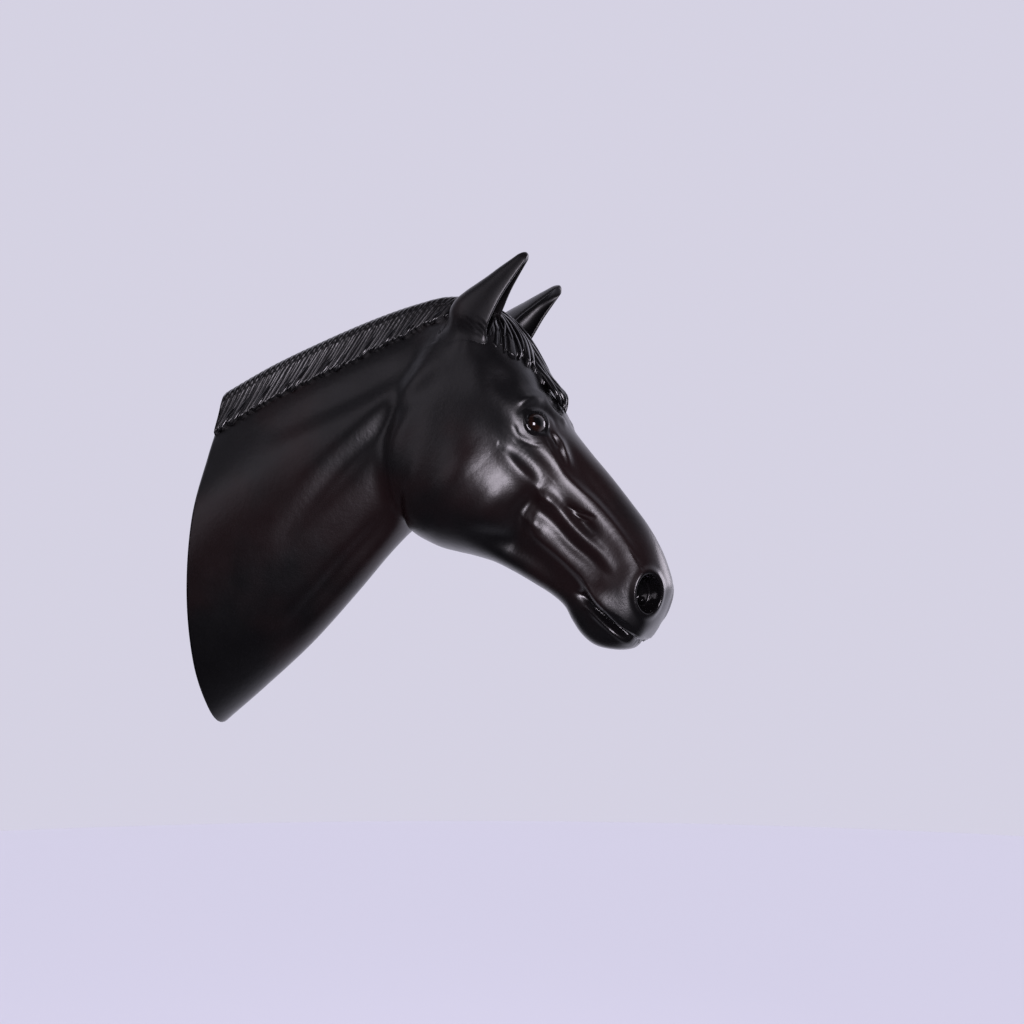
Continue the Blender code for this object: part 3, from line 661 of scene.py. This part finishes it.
def sink_edge(heights, edge):
    """Lets the heights of a sheet of hair run out below the skin where edge is 1."""
    return heights * (1 - edge) - HAIR_SUNK * EDGE_SUNK * edge


def hair_solid(name, table, rows, rounds, heights):
    """A closed solid whose top is a sheet of hair, one line of places from edge to edge after another. Its
    underside runs below the skin."""
    top, _ = over_skin(table, rows, rounds, heights)
    back = np.linspace(rows.shape[1] - 1, 0, HAIR_UNDERSIDE).astype(int)
    sunk = np.full((len(rows), len(back)), -HAIR_SUNK)
    under, _ = over_skin(table, rows[:, back], rounds[:, back], sunk)
    return tube_piece(name, [np.concatenate([top, under], axis=1)])


def mane_fall(share):
    """How far the mane falls at this share of its way along the crest."""
    return between(MANE_FALL, share**3)


def mane_sheet(table, rings, spacing):
    """Strands from the crest back and down both sides of the neck, each ending in a point."""
    strands = int((MANE_END - MANE_SPARE) / spacing)
    crest = np.linspace(0, strands * spacing, strands * STRAND_STEPS + 1)
    x, t = np.meshgrid(crest, np.linspace(-1, 1, MANE_STEPS), indexing="ij")
    side = np.where(t < 0, MANE_LEFT_SHARE, 1.0)
    down = np.abs(t)
    share = x / MANE_END
    rng = np.random.default_rng(5)
    number = np.minimum((x / spacing).astype(int), strands - 1)
    higher = rng.uniform(*MANE_HIGHER, strands)[number]
    longer = rng.uniform(*MANE_LONGER, strands)[number]
    ridge = strand_ridge(x / spacing)
    fall = mane_fall(share) + longer + MANE_POINTS * (ridge - RIDGE_MIDDLE)
    fall = fall * side * smooth_step((MANE_END + MANE_SHORTENS[0] - x) / MANE_SHORTENS[1])
    lean = between(MANE_LEAN, np.clip(MANE_LEAN_GROWS * share, 0, 1)) * down * fall
    wander = sum(high * np.sin(ahead * x + below * down + start) for high, ahead, below, start in MANE_WAVES)
    rows = rows_at(rings, x - lean - wander * down)
    away = smooth_step(down / MANE_PARTS_OVER)
    grooved = 1 - between(MANE_RELIEF, away) * (1 - ridge)
    heights = read_along(MANE_PROFILE, down) * (1 + (higher - 1) * away) * grooved
    lower_edge = smooth_step((down - MANE_EDGE_FROM) / (1 - MANE_EDGE_FROM))
    front_edge = smooth_step((x - MANE_END + MANE_FRONT[0]) / MANE_FRONT[1])
    heights = sink_edge(heights, np.maximum(lower_edge, front_edge))
    return hair_solid("mane", table, rows, t * fall, heights)


def sooner(way, lead):
    """A share of the way that runs ahead at first by lead, and comes to 1 with it."""
    return np.clip(way * (1 + lead - lead * way), 0, FORELOCK_LIMIT)


def forelock_sheet(table, rings):
    """Strands that fan out from between the ears, each to its own point over the forehead."""
    count = 2 * FORELOCK_STRANDS
    lines = np.linspace(-1, 1, count * STRAND_STEPS + 1)
    p, t = np.meshgrid(lines, np.linspace(0, 1, FORELOCK_STEPS), indexing="ij")
    side = np.sign(p)
    aside = np.abs(p)
    rng = np.random.default_rng(21)
    strand = (p + 1) / 2 * count
    strand = strand + FORELOCK_UNEVEN[0] * np.sin(FORELOCK_UNEVEN[1] * strand)
    number = np.clip(strand.astype(int), 0, count - 1)
    higher = rng.uniform(*FORELOCK_HIGHER, count)[number]
    longer = rng.uniform(*FORELOCK_LONGER, count)[number]
    deeper = rng.uniform(*FORELOCK_RELIEF, count)[number]
    ridge = strand_ridge(strand)
    tips = read_along(FORELOCK_TIPS, 1 - aside)
    way = t * (1 + longer + FORELOCK_POINTS * (ridge - RIDGE_MIDDLE))
    drawn = 1 - FORELOCK_DRAWN_IN * np.sin(math.pi * np.clip(way, 0, 1))
    start = FORELOCK_ROOT_HALF * p
    rounds = start + (side * tips[..., 1] - start) * sooner(way, FORELOCK_ASIDE_SOONER) * drawn
    swell = np.sin(math.pi * t)
    bend = FORELOCK_BEND[0] * swell * np.sin(2 * math.pi * t + FORELOCK_BEND[1] * aside) * side
    high, quick, shift = FORELOCK_WAVE
    wave = high * np.sin(quick * t + shift * aside) * swell * aside
    x = FORELOCK_ROOT + (tips[..., 0] - FORELOCK_ROOT) * sooner(way, FORELOCK_AHEAD_SOONER)
    heights = read_along(FORELOCK_PROFILE, t) * higher * (1 - deeper * (1 - ridge))
    heights = heights * (1 + FORELOCK_CROWN * (1 - aside))
    heights = sink_edge(heights, smooth_step((t - FORELOCK_EDGE_FROM) / (1 - FORELOCK_EDGE_FROM)))
    return hair_solid("forelock", table, rows_at(rings, x), rounds + bend + wave, heights)


def lock_rings(table, rings, keys, size, strands):
    """One lock of hair over the skin. keys are (x, round from the crest, height) from root to tip."""
    keys = np.array(keys, float)
    keys[:, 0] = rows_at(rings, keys[:, 0])
    keys = read_along(keys, np.linspace(0, 1, LOCK_STEPS))
    path, outwards = over_skin(table, keys[:, 0], keys[:, 1], keys[:, 2])
    turns = np.linspace(0, 2 * math.pi, LOCK_SIDES, endpoint=False)
    flutes = 1 - LOCK_GROOVE * (0.5 - 0.5 * np.cos(turns * strands))
    lock = []
    for k, (point, step, outward) in enumerate(zip(path, np.gradient(path, axis=0), outwards)):
        share = k / (LOCK_STEPS - 1)
        taper = max((share - LOCK_TAPERS_FROM) / (1 - LOCK_TAPERS_FROM), 0) ** LOCK_TAPER
        swell = min(LOCK_ROOT + LOCK_SWELL * share, 1) * math.sqrt(max(1 - taper, LOCK_TIP))
        across = unit(np.cross(outward, step))
        up = unit(np.cross(step, across))
        wide = (size[0] * swell * flutes * np.cos(turns))[:, None] * across
        high = (size[1] * swell * flutes * np.sin(turns))[:, None] * up
        lock.append(point + wide + high)
    return np.array(lock)


def loose_mane_locks(table, rings):
    """Single locks that lie on the lower half of the mane and lift a little off the neck at their tips."""
    rng = np.random.default_rng(7)
    locks = []
    for side, count, fall_share in ((1, MANE_LOCKS, 1), (-1, MANE_LOCKS // 2, MANE_LEFT_SHARE)):
        for k in range(count):
            share = (k + rng.uniform(*MANE_LOCK_PLACE)) / count
            x = MANE_LOCKS_FROM + (MANE_END - MANE_LOCKS_SHORT) * share
            fall = mane_fall(share) * fall_share
            ends = (fall * rng.uniform(*MANE_LOCK_START), fall * rng.uniform(*MANE_LOCK_END))
            lift = rng.uniform(*MANE_LOCK_LIFT)
            keys = []
            for way, times, plus, back in MANE_LOCK_WAY:
                down = between(ends, way)
                keys.append((x - MANE_LEAN[1] * down - back, down * side, lift * times + plus))
            size = (rng.uniform(*MANE_LOCK_WIDE), rng.uniform(*MANE_LOCK_HIGH))
            locks.append(lock_rings(table, rings, keys, size, MANE_LOCK_FLUTES))
    return locks


def loose_forelock_locks(table, rings):
    """Curved locks over the fan of the forelock, and the thick curl that ends it."""
    rng = np.random.default_rng(11)
    locks = []
    for side in (1, -1):
        for k in range(FORELOCK_LOCKS):
            share = (k + rng.uniform(*FORELOCK_LOCK_PLACE)) / FORELOCK_LOCKS
            x, reach = read_along(FORELOCK_TIPS, np.array([share]))[0]
            cut = rng.uniform(*FORELOCK_LOCK_CUT)
            ahead = (x - FORELOCK_ROOT) * cut + rng.uniform(*FORELOCK_LOCK_STRAY)
            reach = reach * cut
            swing = rng.uniform(*FORELOCK_LOCK_SWING)
            start = between(FORELOCK_LOCK_ROOT, share)
            lift = between(FORELOCK_LOCK_LIFT, share)
            keys = []
            for way, reached, rooted, swung, times, plus, back in FORELOCK_LOCK_WAY:
                aside = reach * reached + start * rooted + swing * swung
                keys.append((FORELOCK_ROOT + ahead * way - back, aside * side, lift * times + plus))
            size = (rng.uniform(*FORELOCK_LOCK_WIDE), rng.uniform(*FORELOCK_LOCK_HIGH))
            locks.append(lock_rings(table, rings, keys, size, FORELOCK_LOCK_FLUTES))
    for root, middle, tip, size in CURL_LOCKS:
        locks.append(lock_rings(table, rings, (root, *middle, tip), size, FORELOCK_LOCK_FLUTES))
    return locks


def shown_piece(name, mesh):
    """Turns the faces of mesh outward, shades it smooth and links it as a piece that rides on the bust."""
    shape = bmesh.new()
    shape.from_mesh(mesh)
    bmesh.ops.recalc_face_normals(shape, faces=shape.faces)
    shape.to_mesh(mesh)
    shape.free()
    mesh.shade_smooth()
    piece = bpy.data.objects.new(name, mesh)
    bpy.context.scene.collection.objects.link(piece)
    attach(piece, "root")
    return piece


def tube_piece(name, tubes):
    """One piece of many closed tubes; each tube is an array of rings of points, in carving units."""
    points = []
    faces = []
    start = 0
    for rings in tubes:
        rows, count = rings.shape[:2]
        corners = start + np.arange(rows * count).reshape(rows, count)
        ahead = np.roll(corners, -1, axis=1)
        quads = np.stack([corners[:-1], corners[1:], ahead[1:], ahead[:-1]], axis=-1).reshape(-1, 4)
        faces.extend(map(tuple, quads.tolist()))
        faces.append(tuple(corners[0].tolist()))
        faces.append(tuple(corners[-1][::-1].tolist()))
        points.append(rings.reshape(-1, 3))
        start += rows * count
    points = np.concatenate(points)
    points[:, 0] = np.maximum(points[:, 0], 0)
    mesh = bpy.data.meshes.new(name)
    mesh.from_pydata((points * UNIT).tolist(), [], faces)
    return shown_piece(name, mesh)


def skin_grid():
    """The skin before its carving, for hair and eyes to lie on."""
    return skin_rings(GRID_ROWS, GRID_COLUMNS)


def ear_outline(width, depth, openness, rounding, hollow):
    """One cut through an ear: round its back, over one rim, along the inside and over the other rim."""
    thick = min(EAR_THICKNESS, width, depth / 2)
    turns = np.linspace(-math.pi / 2, math.pi / 2, EAR_BACK_POINTS)
    back = np.stack([width * np.sin(turns), -depth * np.cos(turns)], axis=1)
    over = np.linspace(0, math.pi, EAR_RIM_POINTS)
    rim = np.stack([width - thick / 2 + thick / 2 * np.cos(over), thick / 2 * np.sin(over)], axis=1)
    turns = np.linspace(math.pi / 2, -math.pi / 2, EAR_INSIDE_POINTS)[1:-1]
    inside = np.stack([(width - thick) * np.sin(turns), -(depth - thick) * hollow * np.cos(turns)], axis=1)
    opened = np.vstack([rim[1:], inside, rim[:0:-1] * (-1, 1)])
    turns = np.linspace(math.pi / 2, -math.pi / 2, len(opened) + 2)[1:-1]
    closed = np.stack([width * np.sin(turns), depth * EAR_CLOSED_DEPTH * np.cos(turns)], axis=1)
    outline = np.vstack([back, closed * (1 - openness) + opened * openness])
    middle = np.array((0, -depth / 2))
    return middle + (outline - middle) * rounding


def smooth_normal(skin, place):
    """The way out of the skin at place, averaged over its surroundings."""
    total = Vector((0, 0, 0))
    for axis in range(3):
        for step in (-NORMAL_REACH, NORMAL_REACH):
            beside = place.copy()
            beside[axis] += step
            total += skin.find_nearest(beside)[1]
    return total.normalized()


def settle(skin, point, middle, opening):
    """Lets the foot of an ear spread out until it lies along the skin, most at its back."""
    point = Vector(point)
    place = skin.find_nearest(point)[0]
    normal = smooth_normal(skin, place)
    above = (point - place).dot(normal)
    if above > EAR_FOOT:
        return point
    nearness = 1 - max(above, 0) / EAR_FOOT
    away = point - Vector(middle)
    away = (away - normal * away.dot(normal)).normalized()
    spread = between(EAR_SPREAD, (1 - away.dot(Vector(opening))) / 2)
    place = skin.find_nearest(point + away * spread * nearness**3)[0]
    height = above * (1 - nearness**2) if above > 0 else max(above, -EAR_SUNK)
    settled = place + smooth_normal(skin, place) * height
    return point.lerp(settled, float(smooth_step(2 * nearness)))


def ear_rings(skin, root, tip, turn, hollow):
    """One ear as rings from below the skin to its tip."""
    root = np.array(root, float)
    tip = np.array(tip, float)
    axis = unit(tip - root)
    ahead = unit(np.array((1, 0, 0)) - axis * axis[0])
    opening = ahead * math.cos(turn) + np.cross(axis, ahead) * math.sin(turn)
    across = np.cross(axis, opening)
    shares = 1 - np.linspace(1, 0, EAR_ROWS) ** EAR_TIP_CLOSER
    widths = read_along(EAR_WIDTHS, shares) / 2
    depths = read_along(EAR_DEPTHS, shares)
    open_by = np.clip(read_along(EAR_OPENNESS, shares), 0, 1)
    ear = []
    for share, width, depth, openness in zip(shares, widths, depths, open_by):
        forward = depth * EAR_FORWARD - EAR_BOW * math.sin(math.pi * share)
        middle = root + (tip - root) * share + opening * forward
        near_tip = np.clip((share - EAR_TIP_FROM) / (1 - EAR_TIP_FROM), 0, EAR_TIP_ENDS)
        outline = ear_outline(width, depth, openness, math.sqrt(1 - near_tip**2), hollow)
        ring = middle + outline[:, :1] * across + outline[:, 1:] * opening
        ear.append([settle(skin, point, middle - opening * depth / 2, opening) for point in ring])
    return np.array(ear)


def add_node(tree, kind, inputs, **settings):
    """A new node with these settings. An input is linked where it is given a socket, or else set."""
    node = tree.nodes.new(kind)
    for name, value in settings.items():
        setattr(node, name, value)
    for name, value in inputs.items():
        if isinstance(value, bpy.types.NodeSocket):
            tree.links.new(value, node.inputs[name])
        else:
            node.inputs[name].default_value = value
    return node


def worked_out(tree, operation, *values):
    """The output of a math node over these values and sockets."""
    return add_node(tree, "ShaderNodeMath", dict(enumerate(values)), operation=operation).outputs[0]


def noise(tree, place, scale, detail):
    inputs = {"Vector": place, "Scale": scale, "Detail": detail}
    return add_node(tree, "ShaderNodeTexNoise", inputs).outputs["Fac"]


def faded_in(tree, value, start, end, low=0.0, high=1.0, **settings):
    """Runs from low to high as value goes from start to end."""
    inputs = {"Value": value, "From Min": start, "From Max": end, "To Min": low, "To Max": high}
    return add_node(tree, "ShaderNodeMapRange", inputs, **settings).outputs["Result"]


def mixed(tree, kind, factor, first, second):
    """The output of a node that mixes two colours, kind RGBA, or two numbers, kind FLOAT."""
    inputs = {"Factor": factor, "A": first, "B": second}
    return add_node(tree, "ShaderNodeMix", inputs, data_type=kind).outputs["Result"]


def resin_group():
    """Colour, roughness and relief of the black resin: the undertone comes through in soft patches."""
    group = bpy.data.node_groups.get("Resin patina")
    if group:
        return group
    group = bpy.data.node_groups.new("Resin patina", "ShaderNodeTree")
    for name, kind, value in (
        ("Black", "Color", (0.01, 0.01, 0.01, 1)),
        ("Undertone", "Color", (0.03, 0.01, 0.01, 1)),
        ("Undertone amount", "Float", 0.6),
        ("Patch scale", "Float", 6.0),
        ("Roughness", "Float", 0.4),
        ("Roughness spread", "Float", 0.1),
        ("Grain", "Float", 1.0),
    ):
        socket = group.interface.new_socket(name, in_out="INPUT", socket_type="NodeSocket" + kind)
        socket.default_value = value
    for name, kind in (("Color", "Color"), ("Roughness", "Float"), ("Height", "Float")):
        group.interface.new_socket(name, in_out="OUTPUT", socket_type="NodeSocket" + kind)
    given = group.nodes.new("NodeGroupInput").outputs
    place = group.nodes.new("ShaderNodeTexCoord").outputs["Object"]
    patches = noise(group, place, given["Patch scale"], PATCH_DETAIL)
    faded = faded_in(group, patches, *PATCH_FADE, interpolation_type="SMOOTHERSTEP")
    amount = worked_out(group, "MULTIPLY", faded, given["Undertone amount"])
    centred = worked_out(group, "SUBTRACT", noise(group, place, *SMEAR_NOISE), 0.5)
    rough = worked_out(group, "MULTIPLY_ADD", centred, given["Roughness spread"], given["Roughness"])
    grain = noise(group, place, *GRAIN_NOISE)
    relief = worked_out(group, "MULTIPLY_ADD", noise(group, place, *DIMPLE_NOISE), DIMPLES_TO_GRAIN, grain)
    add_node(group, "NodeGroupOutput", {
        "Color": mixed(group, "RGBA", amount, given["Black"], given["Undertone"]),
        "Roughness": rough,
        "Height": worked_out(group, "MULTIPLY", relief, given["Grain"]),
    })
    return group


def resin_material(finish, black, undertone):
    """One of the black resin finishes."""
    amount, roughness, spread, grain, coat, gloss_roughness = FINISHES[finish]
    material = bpy.data.materials.new("resin " + finish)
    material.use_nodes = True
    tree = material.node_tree
    shader = tree.nodes["Principled BSDF"]
    shader.inputs["Coat Weight"].default_value = coat
    shader.inputs["Coat Roughness"].default_value = COAT_ROUGHNESS
    patina = add_node(tree, "ShaderNodeGroup", {}, node_tree=resin_group())
    for name, value in (
        ("Black", black),
        ("Undertone", undertone),
        ("Undertone amount", amount),
        ("Roughness", roughness),
        ("Roughness spread", spread),
        ("Grain", grain),
    ):
        patina.inputs[name].default_value = value
    relief = {"Distance": BUMP_HEIGHT, "Strength": BUMP_STRENGTH, "Height": patina.outputs["Height"]}
    colour = patina.outputs["Color"]
    rough = patina.outputs["Roughness"]
    if gloss_roughness is not None:
        gloss = add_node(tree, "ShaderNodeAttribute", {}, attribute_name="gloss").outputs["Fac"]
        colour = mixed(tree, "RGBA", gloss, colour, GLOSSY_BLACK)
        rough = mixed(tree, "FLOAT", gloss, rough, gloss_roughness)
    tree.links.new(colour, shader.inputs["Base Color"])
    tree.links.new(rough, shader.inputs["Roughness"])
    tree.links.new(add_node(tree, "ShaderNodeBump", relief).outputs["Normal"], shader.inputs["Normal"])
    return material


def eye_material(side, iris, iris_radius):
    """Glass eye: black pupil and rim, brown iris with fibres that run out from the pupil."""
    material = bpy.data.materials.new("eye_" + side)
    material.use_nodes = True
    tree = material.node_tree
    shader = tree.nodes["Principled BSDF"]
    shader.inputs["Roughness"].default_value = 0.04
    shader.inputs["Coat Weight"].default_value = 0.2
    shader.inputs["Coat Roughness"].default_value = 0.02
    place = add_node(tree, "ShaderNodeAttribute", {}, attribute_name="on_eye").outputs["Vector"]
    split = add_node(tree, "ShaderNodeSeparateXYZ", {"Vector": place}).outputs
    flat = add_node(tree, "ShaderNodeCombineXYZ", {"X": split["X"], "Y": split["Y"]}).outputs["Vector"]
    radius = add_node(tree, "ShaderNodeVectorMath", {0: flat}, operation="LENGTH").outputs["Value"]
    squeezed = add_node(tree, "ShaderNodeVectorMath", {0: flat, 1: PUPIL_SQUEEZE}, operation="MULTIPLY")
    pupil_radius = add_node(tree, "ShaderNodeVectorMath", {0: squeezed.outputs["Vector"]}, operation="LENGTH")
    direction = add_node(tree, "ShaderNodeVectorMath", {0: flat}, operation="NORMALIZE").outputs["Vector"]
    brown = add_node(tree, "ShaderNodeValToRGB", {"Fac": noise(tree, direction, *FIBRE_NOISE)})
    dark, light = brown.color_ramp.elements
    dark.position, light.position = FIBRE_FADE
    dark.color = (iris[0] * DARK_FIBRE, iris[1] * DARK_FIBRE, iris[2] * DARK_FIBRE, 1)
    light.color = tuple(iris)
    outside_pupil = faded_in(tree, pupil_radius.outputs["Value"], *PUPIL_EDGE)
    inside_iris = faded_in(tree, radius, iris_radius, iris_radius - IRIS_EDGE)
    shown = worked_out(tree, "MULTIPLY", outside_pupil, inside_iris)
    colour = mixed(tree, "RGBA", shown, PUPIL_BLACK, brown.outputs["Color"])
    tree.links.new(colour, shader.inputs["Base Color"])
    return material


class HORSEHEAD_OT_bust(bpy.types.Operator):
    """Carve the neck and head"""

    bl_idname = "horsehead.bust"
    bl_label = "Carve neck and head"

    def execute(self, context):
        sizes = context.scene.horse_head_sizes
        colours = context.scene.horse_head_colours
        half = sizes.skin_columns
        rings, gloss = carve(skin_rings(sizes.skin_rows, half), half)
        rings[0, :, 0] = 0
        bust = tube_piece("bust", [rings])
        attribute = bust.data.attributes.new("gloss", "FLOAT", "POINT")
        attribute.data.foreach_set("value", gloss.astype(np.float32).ravel())
        bust.data.materials.append(resin_material("skin", colours.resin, colours.undertone))
        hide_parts("horse_head")
        return {"FINISHED"}


class HORSEHEAD_OT_ears(bpy.types.Operator):
    """Carve both ears onto the head"""

    bl_idname = "horsehead.ears"
    bl_label = "Carve ears"

    def execute(self, context):
        colours = context.scene.horse_head_colours
        finish = resin_material("ears", colours.resin, colours.undertone)
        mesh = bpy.data.objects["bust"].data
        corners = [vertex.co / UNIT for vertex in mesh.vertices]
        skin = BVHTree.FromPolygons(corners, [tuple(polygon.vertices) for polygon in mesh.polygons])
        for side, (root, tip, turn, hollow) in EARS.items():
            ear = tube_piece("ear_" + side, [ear_rings(skin, root, tip, turn, hollow)])
            ear.data.materials.append(finish)
        return {"FINISHED"}


class HORSEHEAD_OT_hair(bpy.types.Operator):
    """Lay the mane and the forelock"""

    bl_idname = "horsehead.hair"
    bl_label = "Lay mane and forelock"

    def execute(self, context):
        sizes = context.scene.horse_head_sizes
        colours = context.scene.horse_head_colours
        finish = resin_material("hair", colours.hair, colours.undertone)
        gloss = resin_material("locks", colours.hair, colours.undertone)
        rings = skin_grid()
        table = skin_table(rings)
        pieces = (
            mane_sheet(table, rings, sizes.strand_spacing / UNIT),
            forelock_sheet(table, rings),
            tube_piece("mane_locks", loose_mane_locks(table, rings)),
            tube_piece("forelock_locks", loose_forelock_locks(table, rings)),
        )
        for piece in pieces:
            piece.data.materials.append(gloss if piece.name.endswith("_locks") else finish)
        return {"FINISHED"}


class HORSEHEAD_OT_eyes(bpy.types.Operator):
    """Set the glass eyes"""

    bl_idname = "horsehead.eyes"
    bl_label = "Set glass eyes"

    def execute(self, context):
        sizes = context.scene.horse_head_sizes
        colours = context.scene.horse_head_colours
        rings = skin_grid()
        _, along, across, outward = local_frame(rings, GRID_COLUMNS, EYE_CENTRE, EYE_TILT)
        radius = EYE_RADIUS * UNIT
        for side, mirror in (("right", 1), ("left", -1)):
            low, high = EYE_BOXES[side]
            shape = bmesh.new()
            bmesh.ops.create_uvsphere(
                shape, u_segments=EYE_SEGMENTS[0], v_segments=EYE_SEGMENTS[1], radius=radius
            )
            mesh = bpy.data.meshes.new("glass_eye_" + side)
            shape.to_mesh(mesh)
            shape.free()
            axes = np.stack([along, across, outward]) * np.array((1, mirror, 1))
            points = np.array([vertex.co for vertex in mesh.vertices])
            bulge = CORNEA_BULGE * smooth_step((points[:, 2] / radius - CORNEA_FROM) / (1 - CORNEA_FROM))
            points = points * (1 + bulge[:, None])
            places = points @ axes + (low + high) / 2
            mesh.vertices.foreach_set("co", places.astype(np.float32).ravel())
            mesh.update()
            attribute = mesh.attributes.new("on_eye", "FLOAT_VECTOR", "POINT")
            attribute.data.foreach_set("vector", (points / radius).astype(np.float32).ravel())
            eye = shown_piece("glass_eye_" + side, mesh)
            iris_radius = sizes.iris_diameter / 2 / radius
            eye.data.materials.append(eye_material(side, colours.iris, iris_radius))
            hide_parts("eye_" + side)
        return {"FINISHED"}


class HORSEHEAD_OT_stage(bpy.types.Operator):
    """Set the floor, lights and camera"""

    bl_idname = "horsehead.stage"
    bl_label = "Set stage"

    def execute(self, context):
        scene = context.scene
        sizes = scene.horse_head_sizes
        colours = scene.horse_head_colours
        self.lay_floor(float(HEAD_BOX[0][2]) - sizes.floor_drop, colours.stage)
        self.light_room(scene, colours.stage)
        self.set_camera(scene)
        return {"FINISHED"}

    def lay_floor(self, height, colour):
        shape = bmesh.new()
        bmesh.ops.create_circle(shape, cap_ends=True, segments=FLOOR_SIDES, radius=FLOOR_RADIUS)
        bmesh.ops.translate(shape, verts=shape.verts, vec=(0, 0, height))
        mesh = bpy.data.meshes.new("floor")
        shape.to_mesh(mesh)
        shape.free()
        floor = bpy.data.objects.new("floor", mesh)
        bpy.context.scene.collection.objects.link(floor)
        material = bpy.data.materials.new("floor")
        material.use_nodes = True
        shader = material.node_tree.nodes["Principled BSDF"]
        shader.inputs["Base Color"].default_value = colour
        shader.inputs["Roughness"].default_value = 0.9
        shader.inputs["Specular IOR Level"].default_value = 0.1
        mesh.materials.append(material)
        floor.visible_glossy = False

    def light_room(self, scene, colour):
        world = bpy.data.worlds.new("room")
        scene.world = world
        world.use_nodes = True
        tree = world.node_tree
        seen = tree.nodes["Background"]
        seen.inputs["Color"].default_value = colour
        place = tree.nodes.new("ShaderNodeTexCoord").outputs["Generated"]
        split = add_node(tree, "ShaderNodeSeparateXYZ", {"Vector": place})
        fade = faded_in(
            tree, split.outputs["Y"], *ROOM_FADE, ROOM_DARK, ROOM_BRIGHT, interpolation_type="SMOOTHSTEP"
        )
        lit = add_node(tree, "ShaderNodeBackground", {"Color": colour, "Strength": fade})
        by_camera = tree.nodes.new("ShaderNodeLightPath").outputs["Is Camera Ray"]
        shaders = {"Fac": by_camera, 1: lit.outputs[0], 2: seen.outputs[0]}
        room = add_node(tree, "ShaderNodeMixShader", shaders)
        tree.links.new(room.outputs[0], tree.nodes["World Output"].inputs["Surface"])
        drop, width, power = FLOOR_LIGHT
        below = Vector((0, 0, float(HEAD_BOX[0][2]) - drop))
        self.add_lamp(scene, "floor light", below, below - Vector((0, 0, 1)), (width, width), power)
        target = Vector(LAMP_TARGET)
        for name, azimuth, elevation, distance, size, power in SOFTBOXES:
            turn = math.radians(azimuth)
            rise = math.radians(elevation)
            away = Vector((math.cos(turn) * math.cos(rise), math.sin(turn) * math.cos(rise), math.sin(rise)))
            lamp = self.add_lamp(scene, name, target + distance * away, target, size, power)
            lamp.color = LAMP_COLOUR

    def add_lamp(self, scene, name, place, target, size, power):
        """An area light at place that shines towards target."""
        lamp = bpy.data.lights.new(name, "AREA")
        lamp.shape = "RECTANGLE"
        lamp.size, lamp.size_y = size
        lamp.energy = power
        holder = bpy.data.objects.new(name, lamp)
        holder.visible_camera = False
        holder.location = place
        holder.rotation_euler = (target - place).to_track_quat("-Z", "Y").to_euler()
        scene.collection.objects.link(holder)
        return lamp

    def set_camera(self, scene):
        turn = CAMERA_TURN
        rise = CAMERA_LOOKS_UP
        right = Vector((math.cos(turn), math.sin(turn), 0))
        ahead = Vector((-math.sin(turn) * math.cos(rise), math.cos(turn) * math.cos(rise), math.sin(rise)))
        axes = Matrix((right, right.cross(ahead), -ahead)).transposed()
        lens = bpy.data.cameras.new("photograph")
        lens.sensor_width = SENSOR
        lens.lens = CAMERA_LENS
        camera = bpy.data.objects.new("photograph", lens)
        scene.collection.objects.link(camera)
        camera.matrix_world = Matrix.Translation(CAMERA_PLACE) @ axes.to_4x4()
        scene.camera = camera
        scene.view_settings.view_transform = "Standard"


OPERATORS = (
    HORSEHEAD_OT_bust,
    HORSEHEAD_OT_ears,
    HORSEHEAD_OT_hair,
    HORSEHEAD_OT_eyes,
    HORSEHEAD_OT_stage,
)


class HORSEHEAD_PT_panel(bpy.types.Panel):
    """Lists the steps and settings of the horse head"""

    bl_idname = "HORSEHEAD_PT_panel"
    bl_label = "Horse Head"
    bl_space_type = "VIEW_3D"
    bl_region_type = "UI"
    bl_category = "Horse Head"

    def draw(self, context):
        for group in (context.scene.horse_head_sizes, context.scene.horse_head_colours):
            box = self.layout.box()
            for name in group.__annotations__:
                box.prop(group, name)
        for operator in OPERATORS:
            self.layout.operator(operator.bl_idname)


CLASSES = (HorseHeadSizes, HorseHeadColours) + OPERATORS + (HORSEHEAD_PT_panel,)


def register():
    for cls in CLASSES:
        bpy.utils.register_class(cls)
    bpy.types.Scene.horse_head_sizes = PointerProperty(type=HorseHeadSizes)
    bpy.types.Scene.horse_head_colours = PointerProperty(type=HorseHeadColours)


def unregister():
    del bpy.types.Scene.horse_head_colours
    del bpy.types.Scene.horse_head_sizes
    for cls in reversed(CLASSES):
        bpy.utils.unregister_class(cls)


def main():
    register()
    bpy.ops.horsehead.bust()
    bpy.ops.horsehead.ears()
    bpy.ops.horsehead.hair()
    bpy.ops.horsehead.eyes()
    bpy.ops.horsehead.stage()


if __name__ == "__main__":
    main()
